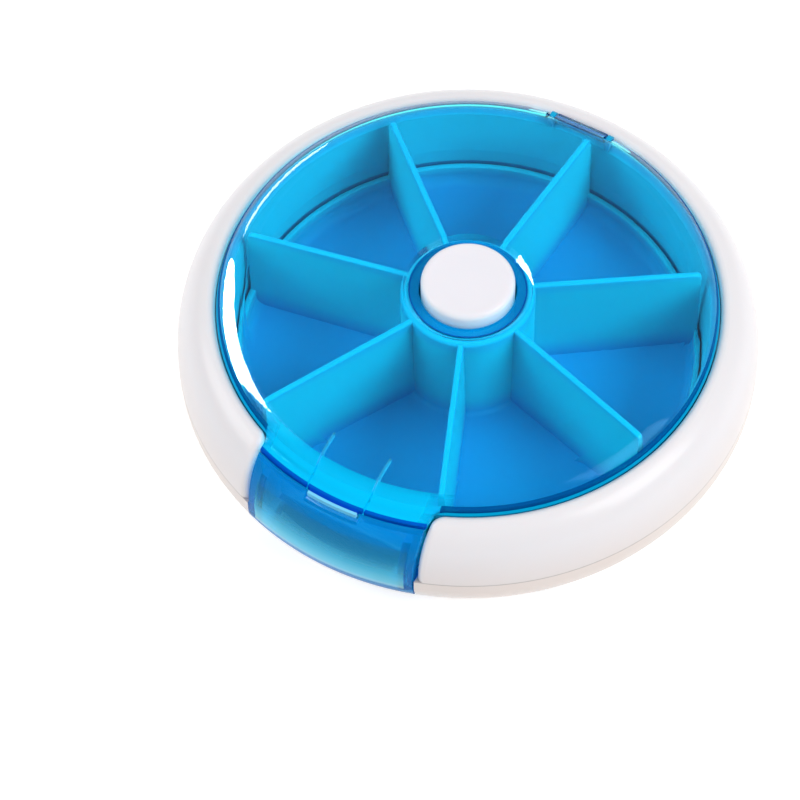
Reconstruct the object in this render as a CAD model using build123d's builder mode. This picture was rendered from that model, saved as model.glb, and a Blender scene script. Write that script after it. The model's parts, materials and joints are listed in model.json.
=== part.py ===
from build123d import *
import math
import os

# Rotating seven-compartment pill organizer with a push button.
# Millimetres, +Z up, origin on the turning axis at the underside, the door faces -Y.

# Driving dimensions of the case
CASE_RADIUS = 45.0
FOOT_CURVE_WIDTH = 9.5
BASE_CURVE_HEIGHT = 7.5
PARTING_HEIGHT = 9.4
RIM_HEIGHT = 19.3
CROWN_CURVE_WIDTH = 6.0
RIM_WIDTH = 0.4
QUARTER_TURN = 90.0
SHELL_WALL = 1.6
BASE_FLOOR = 1.4
TONGUE_HEIGHT = 1.2
TONGUE_WALL = 0.8

# Driving dimensions of the lid
LID_EDGE_TOP = 19.75
LID_EDGE_THICKNESS = 0.85
LID_EDGE_WIDTH = 0.5
LID_WALL = 1.15
LID_SHOULDER_WIDTH = 3.7
LID_SHOULDER_TOP = 21.75
LID_CENTRE_TOP = 22.65
LID_LIP_WIDTH = 2.8
LID_LIP_TOP = 18.85
LID_LIP_THICKNESS = 0.8
LID_TAB_WIDTH = 8.2
LID_TAB_REACH = 0.9
LATCH_SLIT_WIDTH = 0.3
LATCH_SLIT_INSET = 0.5
LATCH_TONGUE_LENGTH = 8.6
LIP_CORNER_FLARE = 2.4
COLLAR_HOLE_RADIUS = 7.5
COLLAR_FLOOR_TOP = 22.0
COLLAR_FLOOR_WIDTH = 1.55
COLLAR_SLOPE_WIDTH = 1.0
LIP_STEP_WIDTH = 0.4

# Driving dimensions of the lid's hinge
HINGE_PIN_RADIUS = 0.5
HINGE_PIN_LENGTH = 10.8
HINGE_BARREL_RADIUS = 0.85
HINGE_BARREL_LENGTH = 8.6
HINGE_PIN_INSET = 0.9
HINGE_PIN_HEIGHT = 19.6
HINGE_EAR_WIDTH = 0.8
HINGE_NOTCH_DEPTH = 2.1
KNUCKLE_WEB_DROP = 0.5

# Driving dimensions of the tray
COMPARTMENTS = 7
TRAY_INSET = 2.1
TRAY_FLOOR = 1.0
TRAY_LIP_HEIGHT = 6.0
TRAY_LIP_WALL = 1.0
TRAY_FLOOR_FILLET = 1.8
DIVIDER_INSET = 0.2
DIVIDER_WIDTH = 1.7
DIVIDER_DRAFT = 1.2
DIVIDER_INNER_TOP = 21.0
DIVIDER_OUTER_TOP = 19.8
DIVIDER_CORNER = 0.5
HUB_RADIUS = 10.3
HUB_WALL = 1.1
HUB_TOP = 21.2
HUB_WEB = 1.0
HUB_WEB_HEIGHT = 3.4
TRAY_STOP_ANGLE = -3.2

# Driving dimensions of the liner and the chute
LINER_WALL = 1.0
LINER_FLANGE = 1.2
LINER_TAPER = 0.5
LINER_TAPER_START = 9.0
LINER_LEAD_IN = 1.2
LEDGE_HEIGHT = 17.4
LEDGE_THICKNESS = 1.5
CHUTE_ROOF_TOP = 17.8
CHUTE_ROOF = 0.9
CHEEK_WALL = 1.1

# Driving dimensions of the door
DOOR_SLOT_WIDTH = 28.6
DOOR_WALL = 1.3
DOOR_LOWER_EDGE = 4.6
DOOR_PIVOT_INSET = 4.5
DOOR_PIVOT_HEIGHT = 7.0
DOOR_PIN_RADIUS = 0.8
DOOR_BOSS_RADIUS = 1.6
DOOR_CHEEK_WALL = 1.2
GATE_WALL = 1.0
GATE_TOP = 15.8
SLOT_END_WALL = 1.5
SLOT_EDGE_ROUND = 1.1

# Driving dimensions of the button and its drive
BUTTON_RADIUS = 7.2
BUTTON_TOP = 24.4
BUTTON_CAP_WALL = 1.0
BUTTON_CAP_TOP = 1.3
BUTTON_EDGE_ROUND = 0.8
BUTTON_TRAVEL = 3.0
POST_RADIUS = 3.0
POST_FLAT = 2.5
POST_TOP = 17.4
JOURNAL_RADIUS = 3.8
JOURNAL_TOP = 6.1
SLEEVE_WALL = 1.1
PLUNGER_FLANGE = 1.0
PLUNGER_TUBE_WALL = 0.6
DRIVE_RING_RADIUS = 8.6
DRIVE_RING_THICKNESS = 0.5
FINGER_COUNT = 3
FINGER_REACH = 2.6
FINGER_WIDTH = 1.4
FINGER_THICKNESS = 0.8
RATCHET_BORE_GAP = 0.6
RAMP_HEIGHT = 2.5
RATCHET_BASE = 0.8
BEARING_WALL = 1.5
TRAY_BEARING_TOP = 5.8
WASHER_THICKNESS = 0.5
CLIP_THICKNESS = 0.8
CLIP_RADIUS = 5.6

# Driving dimensions of the springs
SPRING_WIRE = 0.5
SPRING_TURNS = 7
SPRING_SAMPLES = 64
INDEX_STRIP_WIDTH = 1.6
INDEX_STRIP_THICKNESS = 0.25
INDEX_STRIP_RADIUS = 7.3
INDEX_NOTCH_DEPTH = 0.6
INDEX_BUMP_WIDTH = 1.6
INDEX_ARM_RISE = 1.6
INDEX_BUMP_RISE = 0.55
INDEX_FOOT_START = 1.0
INDEX_FOOT_END = 4.0

# Driving dimensions of the fasteners
CASE_SCREW_COUNT = 4
CASE_SCREW_INSET = 4.8
CASE_SCREW_SHANK = 0.9
CASE_SCREW_LENGTH = 9.0
CASE_SCREW_HEAD_RADIUS = 1.8
CASE_SCREW_HEAD = 1.3
CASE_BOSS_RADIUS = 2.3
BASE_BOSS_RADIUS = 2.9
CASE_BOSS_TOP = 5.2
CASE_SEAT_HEIGHT = 3.9
SPINDLE_SCREW_SHANK = 0.9
SPINDLE_SCREW_LENGTH = 9.0
SPINDLE_SCREW_HEAD_RADIUS = 2.0
SPINDLE_SCREW_HEAD = 1.2
STOP_WASHER_RADIUS = 4.4
INDEX_SCREW_SHANK = 0.5
INDEX_SCREW_HEAD_RADIUS = 0.75
INDEX_SCREW_HEAD = 0.5
INDEX_SCREW_LENGTH = 0.9
RECESS_DEPTH = 0.6
RECESS_WIDTH = 0.5
RECESS_SHARE = 0.7

# Named clearances
MOVING_GAP = 0.3
RUNNING_FIT = 0.06
SEAT_GAP = 0.1
SHAPE_TOLERANCE = 0.02
LID_EDGE_GAP = 0.4
BEARING_GAP = 0.05
TALL = 60.0

# Sizes worked out from the driving dimensions
foot_radius = CASE_RADIUS - FOOT_CURVE_WIDTH
crown_radius = CASE_RADIUS - CROWN_CURVE_WIDTH
lid_radius = crown_radius - RIM_WIDTH - LID_EDGE_GAP
lid_shoulder_radius = lid_radius - LID_SHOULDER_WIDTH
lid_lip_radius = lid_radius + LID_LIP_WIDTH
hinge_pin_y = lid_radius - HINGE_PIN_INSET
tray_radius = lid_radius - TRAY_INSET
divider_reach = tray_radius - DIVIDER_INSET
door_pivot_y = DOOR_PIVOT_INSET - CASE_RADIUS
case_screw_circle = CASE_RADIUS - CASE_SCREW_INSET
step_angle = 360 / COMPARTMENTS
tray_angle = -QUARTER_TURN - step_angle / 2 + TRAY_STOP_ANGLE
tray_floor_bottom = BASE_FLOOR + MOVING_GAP
tray_floor_top = tray_floor_bottom + TRAY_FLOOR
tray_lip_inner = tray_radius - TRAY_LIP_WALL
liner_inner = tray_radius + MOVING_GAP
liner_outer = liner_inner + LINER_WALL
liner_bottom = TRAY_LIP_HEIGHT + MOVING_GAP
liner_flange_top = LEDGE_HEIGHT + LINER_FLANGE
lid_pocket_radius = lid_radius + LID_EDGE_GAP
ledge_inner = liner_outer + SEAT_GAP
slot_half = DOOR_SLOT_WIDTH / 2
door_half = slot_half - MOVING_GAP
slot_inner_y = -(liner_inner + LINER_WALL / 2)
cheek_inner = door_half - CHEEK_WALL
gate_half = cheek_inner - MOVING_GAP
gate_inner_y = -(tray_radius + 2 * MOVING_GAP)
gate_outer_y = gate_inner_y - GATE_WALL
gate_bottom = liner_bottom + MOVING_GAP
roof_bottom = CHUTE_ROOF_TOP - CHUTE_ROOF
roof_radius = lid_lip_radius - SEAT_GAP
door_top_radius = lid_lip_radius + MOVING_GAP
hub_bore = HUB_RADIUS - HUB_WALL
sleeve_bore = POST_RADIUS + RUNNING_FIT
flat_bore = POST_FLAT + RUNNING_FIT
sleeve_radius = sleeve_bore + SLEEVE_WALL
cap_bore = BUTTON_RADIUS - BUTTON_CAP_WALL
plunger_radius = cap_bore - BEARING_GAP
plunger_tube_bore = plunger_radius - PLUNGER_TUBE_WALL
plunger_top = POST_TOP - 2 * SEAT_GAP
spring_seat_top = plunger_top - PLUNGER_FLANGE
clip_top = JOURNAL_TOP + CLIP_THICKNESS
tray_bore = JOURNAL_RADIUS + RUNNING_FIT
tray_bearing_radius = tray_bore + BEARING_WALL
hub_web_top = HUB_WEB_HEIGHT + HUB_WEB
ratchet_inner = tray_bearing_radius + RATCHET_BORE_GAP
ratchet_outer = hub_bore - BEARING_GAP
ratchet_base_top = hub_web_top + RATCHET_BASE
ratchet_top = ratchet_base_top + RAMP_HEIGHT
plunger_bottom = ratchet_top + MOVING_GAP + BUTTON_TRAVEL
cap_bottom = plunger_bottom + PLUNGER_FLANGE - SEAT_GAP
spring_radius = (sleeve_radius + plunger_tube_bore) / 2
wall_inside = CASE_RADIUS - SHELL_WALL
tongue_outer = wall_inside - SEAT_GAP
tongue_root_top = PARTING_HEIGHT - SEAT_GAP
ear_middle = (HINGE_PIN_LENGTH - HINGE_EAR_WIDTH) / 2
index_screw_x = (INDEX_FOOT_START + INDEX_FOOT_END) / 2
index_screw_tip = BASE_FLOOR + INDEX_STRIP_THICKNESS - INDEX_SCREW_LENGTH
index_bump_x = -INDEX_FOOT_END + INDEX_BUMP_WIDTH / 2
notch_angle = math.degrees(math.atan2(INDEX_STRIP_RADIUS, index_bump_x))
notch_radius = math.hypot(INDEX_STRIP_RADIUS, index_bump_x)
divider_middle = (hub_bore + HUB_WALL / 2 + divider_reach) / 2
divider_length = divider_reach - hub_bore - HUB_WALL / 2
tray_bearing_bottom = BASE_FLOOR + WASHER_THICKNESS + BEARING_GAP
ramp_width = (ratchet_inner + ratchet_outer) * math.sin(math.radians(step_angle / 2))
collar_outer = hub_bore - MOVING_GAP
collar_rim = collar_outer + COLLAR_SLOPE_WIDTH
lid_edge_bottom = LID_EDGE_TOP - LID_EDGE_THICKNESS
lip_bottom = LID_LIP_TOP - LID_LIP_THICKNESS
lip_step = lid_pocket_radius + LID_EDGE_GAP + LIP_STEP_WIDTH
dome_middle = (collar_rim + lid_shoulder_radius) / 2
under_radius = lid_shoulder_radius - LID_WALL / 2
shoulder_middle = lid_shoulder_radius + LID_WALL
notch_inset = HINGE_NOTCH_DEPTH - (lid_radius - hinge_pin_y)
index_arm_top = BASE_FLOOR + INDEX_ARM_RISE + INDEX_STRIP_THICKNESS
web_root = hinge_pin_y - notch_inset - SEAT_GAP
slit_place = (LID_TAB_WIDTH + LATCH_SLIT_WIDTH) / 2 + LATCH_SLIT_INSET
slit_middle = LATCH_TONGUE_LENGTH - lid_lip_radius - TALL / 2


def case_section(wall, floor):
    """Half section of the case's outside, or of the space inside a wall, in local X and Z."""
    lower_width = CASE_RADIUS - foot_radius - wall
    upper_width = CASE_RADIUS - crown_radius - wall
    side = CASE_RADIUS - wall
    top = RIM_HEIGHT - wall
    with BuildSketch() as section:
        with BuildLine():
            Polyline((0, top), (0, floor), (foot_radius, floor))
            EllipticalCenterArc(
                (foot_radius, BASE_CURVE_HEIGHT),
                lower_width,
                BASE_CURVE_HEIGHT - floor,
                start_angle=-QUARTER_TURN,
                arc_size=QUARTER_TURN,
            )
            Line((side, BASE_CURVE_HEIGHT), (side, PARTING_HEIGHT))
            EllipticalCenterArc(
                (crown_radius, PARTING_HEIGHT),
                upper_width,
                top - PARTING_HEIGHT,
                start_angle=0,
                arc_size=QUARTER_TURN,
            )
            Line((crown_radius, top), (0, top))
        make_face()
    return section.sketch_local


def outer_radius(height):
    """Radius of the case's outside at a height."""
    if height < PARTING_HEIGHT:
        share = max(0, BASE_CURVE_HEIGHT - height) / BASE_CURVE_HEIGHT
        return foot_radius + (CASE_RADIUS - foot_radius) * math.sqrt(1 - share**2)
    share = (height - PARTING_HEIGHT) / (RIM_HEIGHT - PARTING_HEIGHT)
    return crown_radius + (CASE_RADIUS - crown_radius) * math.sqrt(max(0, 1 - share**2))


def slot_corners(edges):
    """Upright edges where the door's slot meets the case's outside."""
    return edges.filter_by(
        lambda edge: slot_half - SEAT_GAP < abs(edge.center().X) < slot_half + LIP_CORNER_FLARE
        and abs((edge @ 0).Z - (edge @ 1).Z) > SEAT_GAP
        and all(
            abs(math.hypot(end.X, end.Y) - outer_radius(end.Z)) < SHAPE_TOLERANCE
            for end in (edge @ 0, edge @ 0.5, edge @ 1)
        )
        and edge.center().Y < 0
    )


def dome_height(radius):
    """Height of the lid's upper face at a radius inside its shoulder."""
    fall = LID_CENTRE_TOP - LID_SHOULDER_TOP
    return LID_CENTRE_TOP - fall * (radius / lid_shoulder_radius) ** 2


def ring(inner, outer, bottom, top, mode=Mode.ADD):
    """A flat ring about the turning axis, joined to the part that is being built."""
    with BuildSketch(Plane.XY.offset(bottom)) as plan:
        Circle(outer)
        if inner > 0:
            Circle(inner, mode=Mode.SUBTRACT)
    extrude(plan.sketch, amount=top - bottom, mode=mode)


def post_shaped_hole(bottom, top):
    """Cut the post's two-flat section, with its running fit, through the part."""
    with BuildSketch(Plane.XY.offset(bottom)) as plan:
        Circle(sleeve_bore)
        Rectangle(2 * flat_bore, 2 * sleeve_bore, mode=Mode.INTERSECT)
    extrude(plan.sketch, amount=top - bottom, mode=Mode.SUBTRACT)


def front_block(half_width, near_y, bottom, top, mode=Mode.SUBTRACT):
    """A block as wide as the door's slot, or less, from near_y out past the case's front."""
    with BuildSketch(Plane.XY.offset(bottom)) as plan:
        with Locations((0, near_y - TALL / 2)):
            Rectangle(2 * half_width, TALL)
    extrude(plan.sketch, amount=top - bottom, mode=mode)


def side_blocks(inner_x, outer_x, inner_y, outer_y, bottom, top):
    """Two mirrored upright blocks, one each side of the door."""
    middle_x = (inner_x + outer_x) / 2
    middle_y = (inner_y + outer_y) / 2
    with BuildSketch(Plane.XY.offset(bottom)) as plan:
        with Locations((middle_x, middle_y), (-middle_x, middle_y)):
            Rectangle(outer_x - inner_x, abs(outer_y - inner_y))
    extrude(plan.sketch, amount=top - bottom)


def cross_rods(radius, inner_x, outer_x, centre_y, centre_z, mode=Mode.ADD):
    """Two mirrored round rods along X, one each side of the middle."""
    for side in (-1, 1):
        with BuildSketch(Plane.YZ.offset(side * (inner_x + outer_x) / 2)) as plan:
            with Locations((centre_y, centre_z)):
                Circle(radius)
        extrude(plan.sketch, amount=(outer_x - inner_x) / 2, both=True, mode=mode)


def screw_posts(radius, bottom, top, mode=Mode.ADD):
    """One round post or hole at each of the case's screws."""
    with BuildSketch(Plane.XY.offset(bottom)) as plan:
        with PolarLocations(case_screw_circle, CASE_SCREW_COUNT, start_angle=QUARTER_TURN / 2):
            Circle(radius)
    extrude(plan.sketch, amount=top - bottom, mode=mode)


def lid_outline(radius, lip_radius, half_width, flare):
    """Plan of the lid, or of its pocket: a disc with a lip over the door, flared into it."""
    with BuildSketch() as outline:
        Circle(lip_radius)
        with Locations((0, -TALL / 2)):
            Rectangle(2 * half_width, TALL, mode=Mode.INTERSECT)
        Circle(radius)
        corner_y = -math.sqrt(radius**2 - half_width**2)
        corners = outline.vertices().filter_by(
            lambda point: abs(point.Y - corner_y) < SEAT_GAP
        )
        fillet(corners, flare)
    return outline.sketch_local


door_edge_reach = math.hypot(
    outer_radius(DOOR_LOWER_EDGE) + door_pivot_y, DOOR_PIVOT_HEIGHT - DOOR_LOWER_EDGE
)
door_sweep_radius = door_edge_reach + MOVING_GAP

os.makedirs("parts", exist_ok=True)
case_outside = case_section(0, 0)
case_inside = case_section(SHELL_WALL, BASE_FLOOR)
door_inside = case_section(DOOR_WALL, BASE_FLOOR)
pocket_outline = lid_outline(lid_pocket_radius, TALL, slot_half, LIP_CORNER_FLARE)
lid_plan = lid_outline(lid_radius, lid_lip_radius, door_half, LIP_CORNER_FLARE + LID_EDGE_GAP)

# Upper shell: the white ring with the door's slot and the screw bosses
with BuildPart() as upper_shell:
    with BuildSketch(Plane.XZ):
        add(case_outside)
        with Locations((0, PARTING_HEIGHT - TALL / 2)):
            Rectangle(2 * TALL, TALL, mode=Mode.SUBTRACT)
        with Locations((0, TALL / 2)):
            Rectangle(2 * ledge_inner, TALL, mode=Mode.SUBTRACT)
    revolve(axis=Axis.Z)
    with BuildSketch(Plane.XZ):
        add(case_inside)
        with Locations((0, LEDGE_HEIGHT - LEDGE_THICKNESS + TALL / 2)):
            Rectangle(2 * TALL, TALL, mode=Mode.SUBTRACT)
    revolve(axis=Axis.Z, mode=Mode.SUBTRACT)
    screw_posts(CASE_BOSS_RADIUS, CASE_BOSS_TOP, LEDGE_HEIGHT - LEDGE_THICKNESS / 2)
    side_blocks(
        slot_half, slot_half + SLOT_END_WALL, slot_inner_y, -CASE_RADIUS,
        PARTING_HEIGHT, LEDGE_HEIGHT,
    )
    with BuildSketch(Plane.XZ):
        add(case_outside)
    revolve(axis=Axis.Z, mode=Mode.INTERSECT)
    ring(0, ledge_inner, 0, TALL, mode=Mode.SUBTRACT)
    front_block(slot_half, 0, 0, TALL)
    with BuildSketch(Plane.XY.offset(LEDGE_HEIGHT)):
        add(pocket_outline)
    extrude(amount=TALL, mode=Mode.SUBTRACT)
    screw_posts(
        CASE_SCREW_SHANK, CASE_BOSS_TOP, CASE_SEAT_HEIGHT + CASE_SCREW_LENGTH, Mode.SUBTRACT
    )
    fillet(slot_corners(upper_shell.edges()), SLOT_EDGE_ROUND)
upper_shell.part.label = "upper_shell"
export_step(upper_shell.part, "parts/upper_shell.step")

# Base shell: floor, spindle post, sill ring, tongue and screw bosses
with BuildPart() as base_shell:
    with BuildSketch(Plane.XZ):
        add(case_outside)
        with Locations((0, PARTING_HEIGHT + TALL / 2)):
            Rectangle(2 * TALL, TALL, mode=Mode.SUBTRACT)
        add(case_inside, mode=Mode.SUBTRACT)
    revolve(axis=Axis.Z)
    ring(liner_inner, liner_outer, BASE_FLOOR / 2, liner_bottom)
    screw_posts(BASE_BOSS_RADIUS, BASE_FLOOR, CASE_BOSS_TOP)
    side_blocks(
        slot_half, slot_half + SLOT_END_WALL, slot_inner_y, -CASE_RADIUS,
        BASE_FLOOR, PARTING_HEIGHT,
    )
    with BuildSketch(Plane.XZ):
        add(case_outside)
    revolve(axis=Axis.Z, mode=Mode.INTERSECT)
    ring(tongue_outer - TONGUE_WALL, wall_inside + SEAT_GAP, BASE_CURVE_HEIGHT, tongue_root_top)
    ring(tongue_outer - TONGUE_WALL, tongue_outer, tongue_root_top, PARTING_HEIGHT + TONGUE_HEIGHT)
    screw_posts(
        CASE_BOSS_RADIUS + SEAT_GAP, CASE_BOSS_TOP, PARTING_HEIGHT + TONGUE_HEIGHT, Mode.SUBTRACT
    )
    front_block(slot_half + SLOT_END_WALL + SEAT_GAP, -liner_outer, PARTING_HEIGHT, TALL)
    front_block(slot_half, -liner_outer, DOOR_LOWER_EDGE - MOVING_GAP, TALL)
    with BuildSketch(Plane.YZ.offset(-slot_half)):
        with Locations((door_pivot_y, DOOR_PIVOT_HEIGHT)):
            Circle(door_sweep_radius)
        with Locations((-liner_outer + TALL / 2 - SEAT_GAP, 0)):
            Rectangle(TALL, TALL, mode=Mode.SUBTRACT)
    extrude(amount=DOOR_SLOT_WIDTH, mode=Mode.SUBTRACT)
    cross_rods(
        DOOR_PIN_RADIUS, slot_half - SEAT_GAP, slot_half + 2 * SLOT_END_WALL,
        door_pivot_y, DOOR_PIVOT_HEIGHT, Mode.SUBTRACT,
    )
    ring(0, JOURNAL_RADIUS, BASE_FLOOR / 2, JOURNAL_TOP)
    with BuildSketch(Plane.XY.offset(JOURNAL_TOP)):
        Circle(POST_RADIUS)
        Rectangle(2 * POST_FLAT, 2 * POST_RADIUS, mode=Mode.INTERSECT)
    extrude(amount=POST_TOP - JOURNAL_TOP)
    ring(0, SPINDLE_SCREW_SHANK, POST_TOP - SPINDLE_SCREW_LENGTH, POST_TOP, Mode.SUBTRACT)
    screw_posts(CASE_SCREW_HEAD_RADIUS + MOVING_GAP, -BASE_FLOOR, CASE_SEAT_HEIGHT, Mode.SUBTRACT)
    screw_posts(CASE_SCREW_SHANK + SEAT_GAP, 0, CASE_BOSS_TOP, Mode.SUBTRACT)
    with BuildSketch(Plane.XY.offset(index_screw_tip)):
        with Locations((index_screw_x, INDEX_STRIP_RADIUS)):
            Circle(INDEX_SCREW_SHANK)
    extrude(amount=INDEX_SCREW_LENGTH, mode=Mode.SUBTRACT)
base_shell.part.label = "base_shell"
export_step(base_shell.part, "parts/base_shell.step")

# Inner liner: the fixed blue wall round the tray, its flange, chute roof and hinge ears
with BuildPart() as inner_liner:
    ring(liner_inner, liner_outer, liner_bottom, LEDGE_HEIGHT)
    ring(liner_inner, lid_pocket_radius - SEAT_GAP, LEDGE_HEIGHT, liner_flange_top)
    with BuildSketch(Plane.XZ):
        Polygon(
            (0, LINER_TAPER_START),
            (liner_inner, LINER_TAPER_START),
            (liner_inner + LINER_TAPER, LEDGE_HEIGHT),
            (liner_inner + LINER_LEAD_IN, liner_flange_top),
            (0, liner_flange_top),
            align=None,
        )
    revolve(axis=Axis.Z, mode=Mode.SUBTRACT)
    with BuildSketch(Plane.XY.offset(liner_bottom)):
        with Locations((0, -TALL / 2)):
            Rectangle(2 * door_half, TALL)
        Circle(roof_radius - SEAT_GAP, mode=Mode.INTERSECT)
        Circle(liner_inner, mode=Mode.SUBTRACT)
    extrude(amount=roof_bottom - liner_bottom)
    with BuildSketch(Plane.XY.offset(roof_bottom)):
        with Locations((0, -TALL / 2)):
            Rectangle(2 * door_half, TALL)
        Circle(roof_radius, mode=Mode.INTERSECT)
        Circle(liner_inner, mode=Mode.SUBTRACT)
    extrude(amount=CHUTE_ROOF)
    front_block(cheek_inner, 0, liner_bottom, roof_bottom)
    for side in (-1, 1):
        with BuildSketch(Plane.YZ.offset(side * ear_middle)):
            with Locations((hinge_pin_y, HINGE_PIN_HEIGHT)):
                Circle(HINGE_BARREL_RADIUS)
            with Locations((hinge_pin_y, (HINGE_PIN_HEIGHT + LEDGE_HEIGHT) / 2)):
                Rectangle(2 * HINGE_BARREL_RADIUS, HINGE_PIN_HEIGHT - LEDGE_HEIGHT)
        extrude(amount=HINGE_EAR_WIDTH / 2, both=True)
    with BuildSketch(Plane.YZ):
        with Locations((hinge_pin_y, HINGE_PIN_HEIGHT)):
            Circle(HINGE_BARREL_RADIUS + MOVING_GAP)
    extrude(amount=HINGE_BARREL_LENGTH / 2 + MOVING_GAP, both=True, mode=Mode.SUBTRACT)
    with BuildSketch(Plane.YZ):
        with Locations((hinge_pin_y, HINGE_PIN_HEIGHT)):
            Circle(HINGE_PIN_RADIUS)
    extrude(amount=HINGE_PIN_LENGTH / 2, both=True, mode=Mode.SUBTRACT)
inner_liner.part.label = "inner_liner"
export_step(inner_liner.part, "parts/inner_liner.step")

# Pill tray: floor, lip, hub and seven dividers, turning on the post's journal
with BuildPart() as pill_tray:
    with BuildSketch(Plane.XY.offset(tray_floor_bottom + TRAY_FLOOR / 2)):
        with PolarLocations(divider_middle, COMPARTMENTS, start_angle=tray_angle):
            SlotOverall(divider_length, DIVIDER_WIDTH)
    extrude(amount=DIVIDER_INNER_TOP - tray_floor_bottom, taper=DIVIDER_DRAFT)
    with BuildSketch(Plane.XZ):
        with BuildLine():
            slope = Polyline(
                (0, DIVIDER_INNER_TOP),
                (HUB_RADIUS, DIVIDER_INNER_TOP),
                (divider_reach - DIVIDER_CORNER, DIVIDER_OUTER_TOP),
            )
            corner = RadiusArc(
                slope @ 1, (divider_reach, DIVIDER_OUTER_TOP - DIVIDER_CORNER), DIVIDER_CORNER
            )
            Polyline(corner @ 1, (TALL, (corner @ 1).Y), (TALL, TALL), (0, TALL), slope @ 0)
        make_face()
    revolve(axis=Axis.Z, mode=Mode.SUBTRACT)
    with BuildSketch(Plane.XZ):
        with BuildLine():
            outside = Polyline(
                (hub_bore, tray_floor_bottom),
                (tray_lip_inner, tray_floor_bottom),
                (tray_radius, tray_floor_bottom + TRAY_LIP_WALL),
                (tray_radius, TRAY_LIP_HEIGHT),
                (tray_lip_inner, TRAY_LIP_HEIGHT),
                (tray_lip_inner, tray_floor_top + TRAY_FLOOR_FILLET),
            )
            scoop = RadiusArc(
                outside @ 1,
                (tray_lip_inner - TRAY_FLOOR_FILLET, tray_floor_top),
                TRAY_FLOOR_FILLET,
            )
            Polyline(
                scoop @ 1,
                (HUB_RADIUS, tray_floor_top),
                (HUB_RADIUS, HUB_TOP),
                (hub_bore, HUB_TOP),
                (hub_bore, hub_web_top),
                (tray_bearing_radius, hub_web_top),
                (tray_bearing_radius, TRAY_BEARING_TOP),
                (tray_bore, TRAY_BEARING_TOP),
                (tray_bore, tray_bearing_bottom),
                (tray_bearing_radius, tray_bearing_bottom),
                (tray_bearing_radius, HUB_WEB_HEIGHT),
                (hub_bore, HUB_WEB_HEIGHT),
                outside @ 0,
            )
        make_face()
    revolve(axis=Axis.Z)
    ring(0, hub_bore, hub_web_top, TALL, Mode.SUBTRACT)
    ring(0, tray_bearing_radius, hub_web_top, TRAY_BEARING_TOP)
    ring(0, tray_bore, 0, TALL, Mode.SUBTRACT)
    with BuildSketch(Plane.XY.offset(HUB_WEB_HEIGHT)):
        with PolarLocations(notch_radius, COMPARTMENTS, start_angle=notch_angle):
            Rectangle(INDEX_STRIP_WIDTH + 2 * MOVING_GAP, INDEX_BUMP_WIDTH + 2 * MOVING_GAP)
    extrude(amount=INDEX_NOTCH_DEPTH, mode=Mode.SUBTRACT)
pill_tray.part.label = "pill_tray"
export_step(pill_tray.part, "parts/pill_tray.step")

# Ratchet ring: seven ramps that the button's fingers push, pressed into the hub
with BuildPart() as ratchet_ring:
    for ramp in range(COMPARTMENTS):
        direction = Vector(1, 0, 0).rotate(Axis.Z, tray_angle + ramp * step_angle)
        across = Vector(0, 1, 0).rotate(Axis.Z, tray_angle + ramp * step_angle)
        foot = direction * ratchet_inner + Vector(0, 0, ratchet_base_top - SEAT_GAP)
        with BuildSketch(Plane(origin=foot, x_dir=across, z_dir=direction)):
            Polygon(
                (-ramp_width / 2, 0), (ramp_width / 2, 0), (ramp_width / 2, RAMP_HEIGHT + SEAT_GAP),
                align=None,
            )
        extrude(amount=ratchet_outer - ratchet_inner)
    ring(0, ratchet_outer, 0, TALL, Mode.INTERSECT)
    ring(ratchet_inner, ratchet_outer, hub_web_top, ratchet_base_top)
ratchet_ring.part.label = "ratchet_ring"
export_step(ratchet_ring.part, "parts/ratchet_ring.step")

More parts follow.
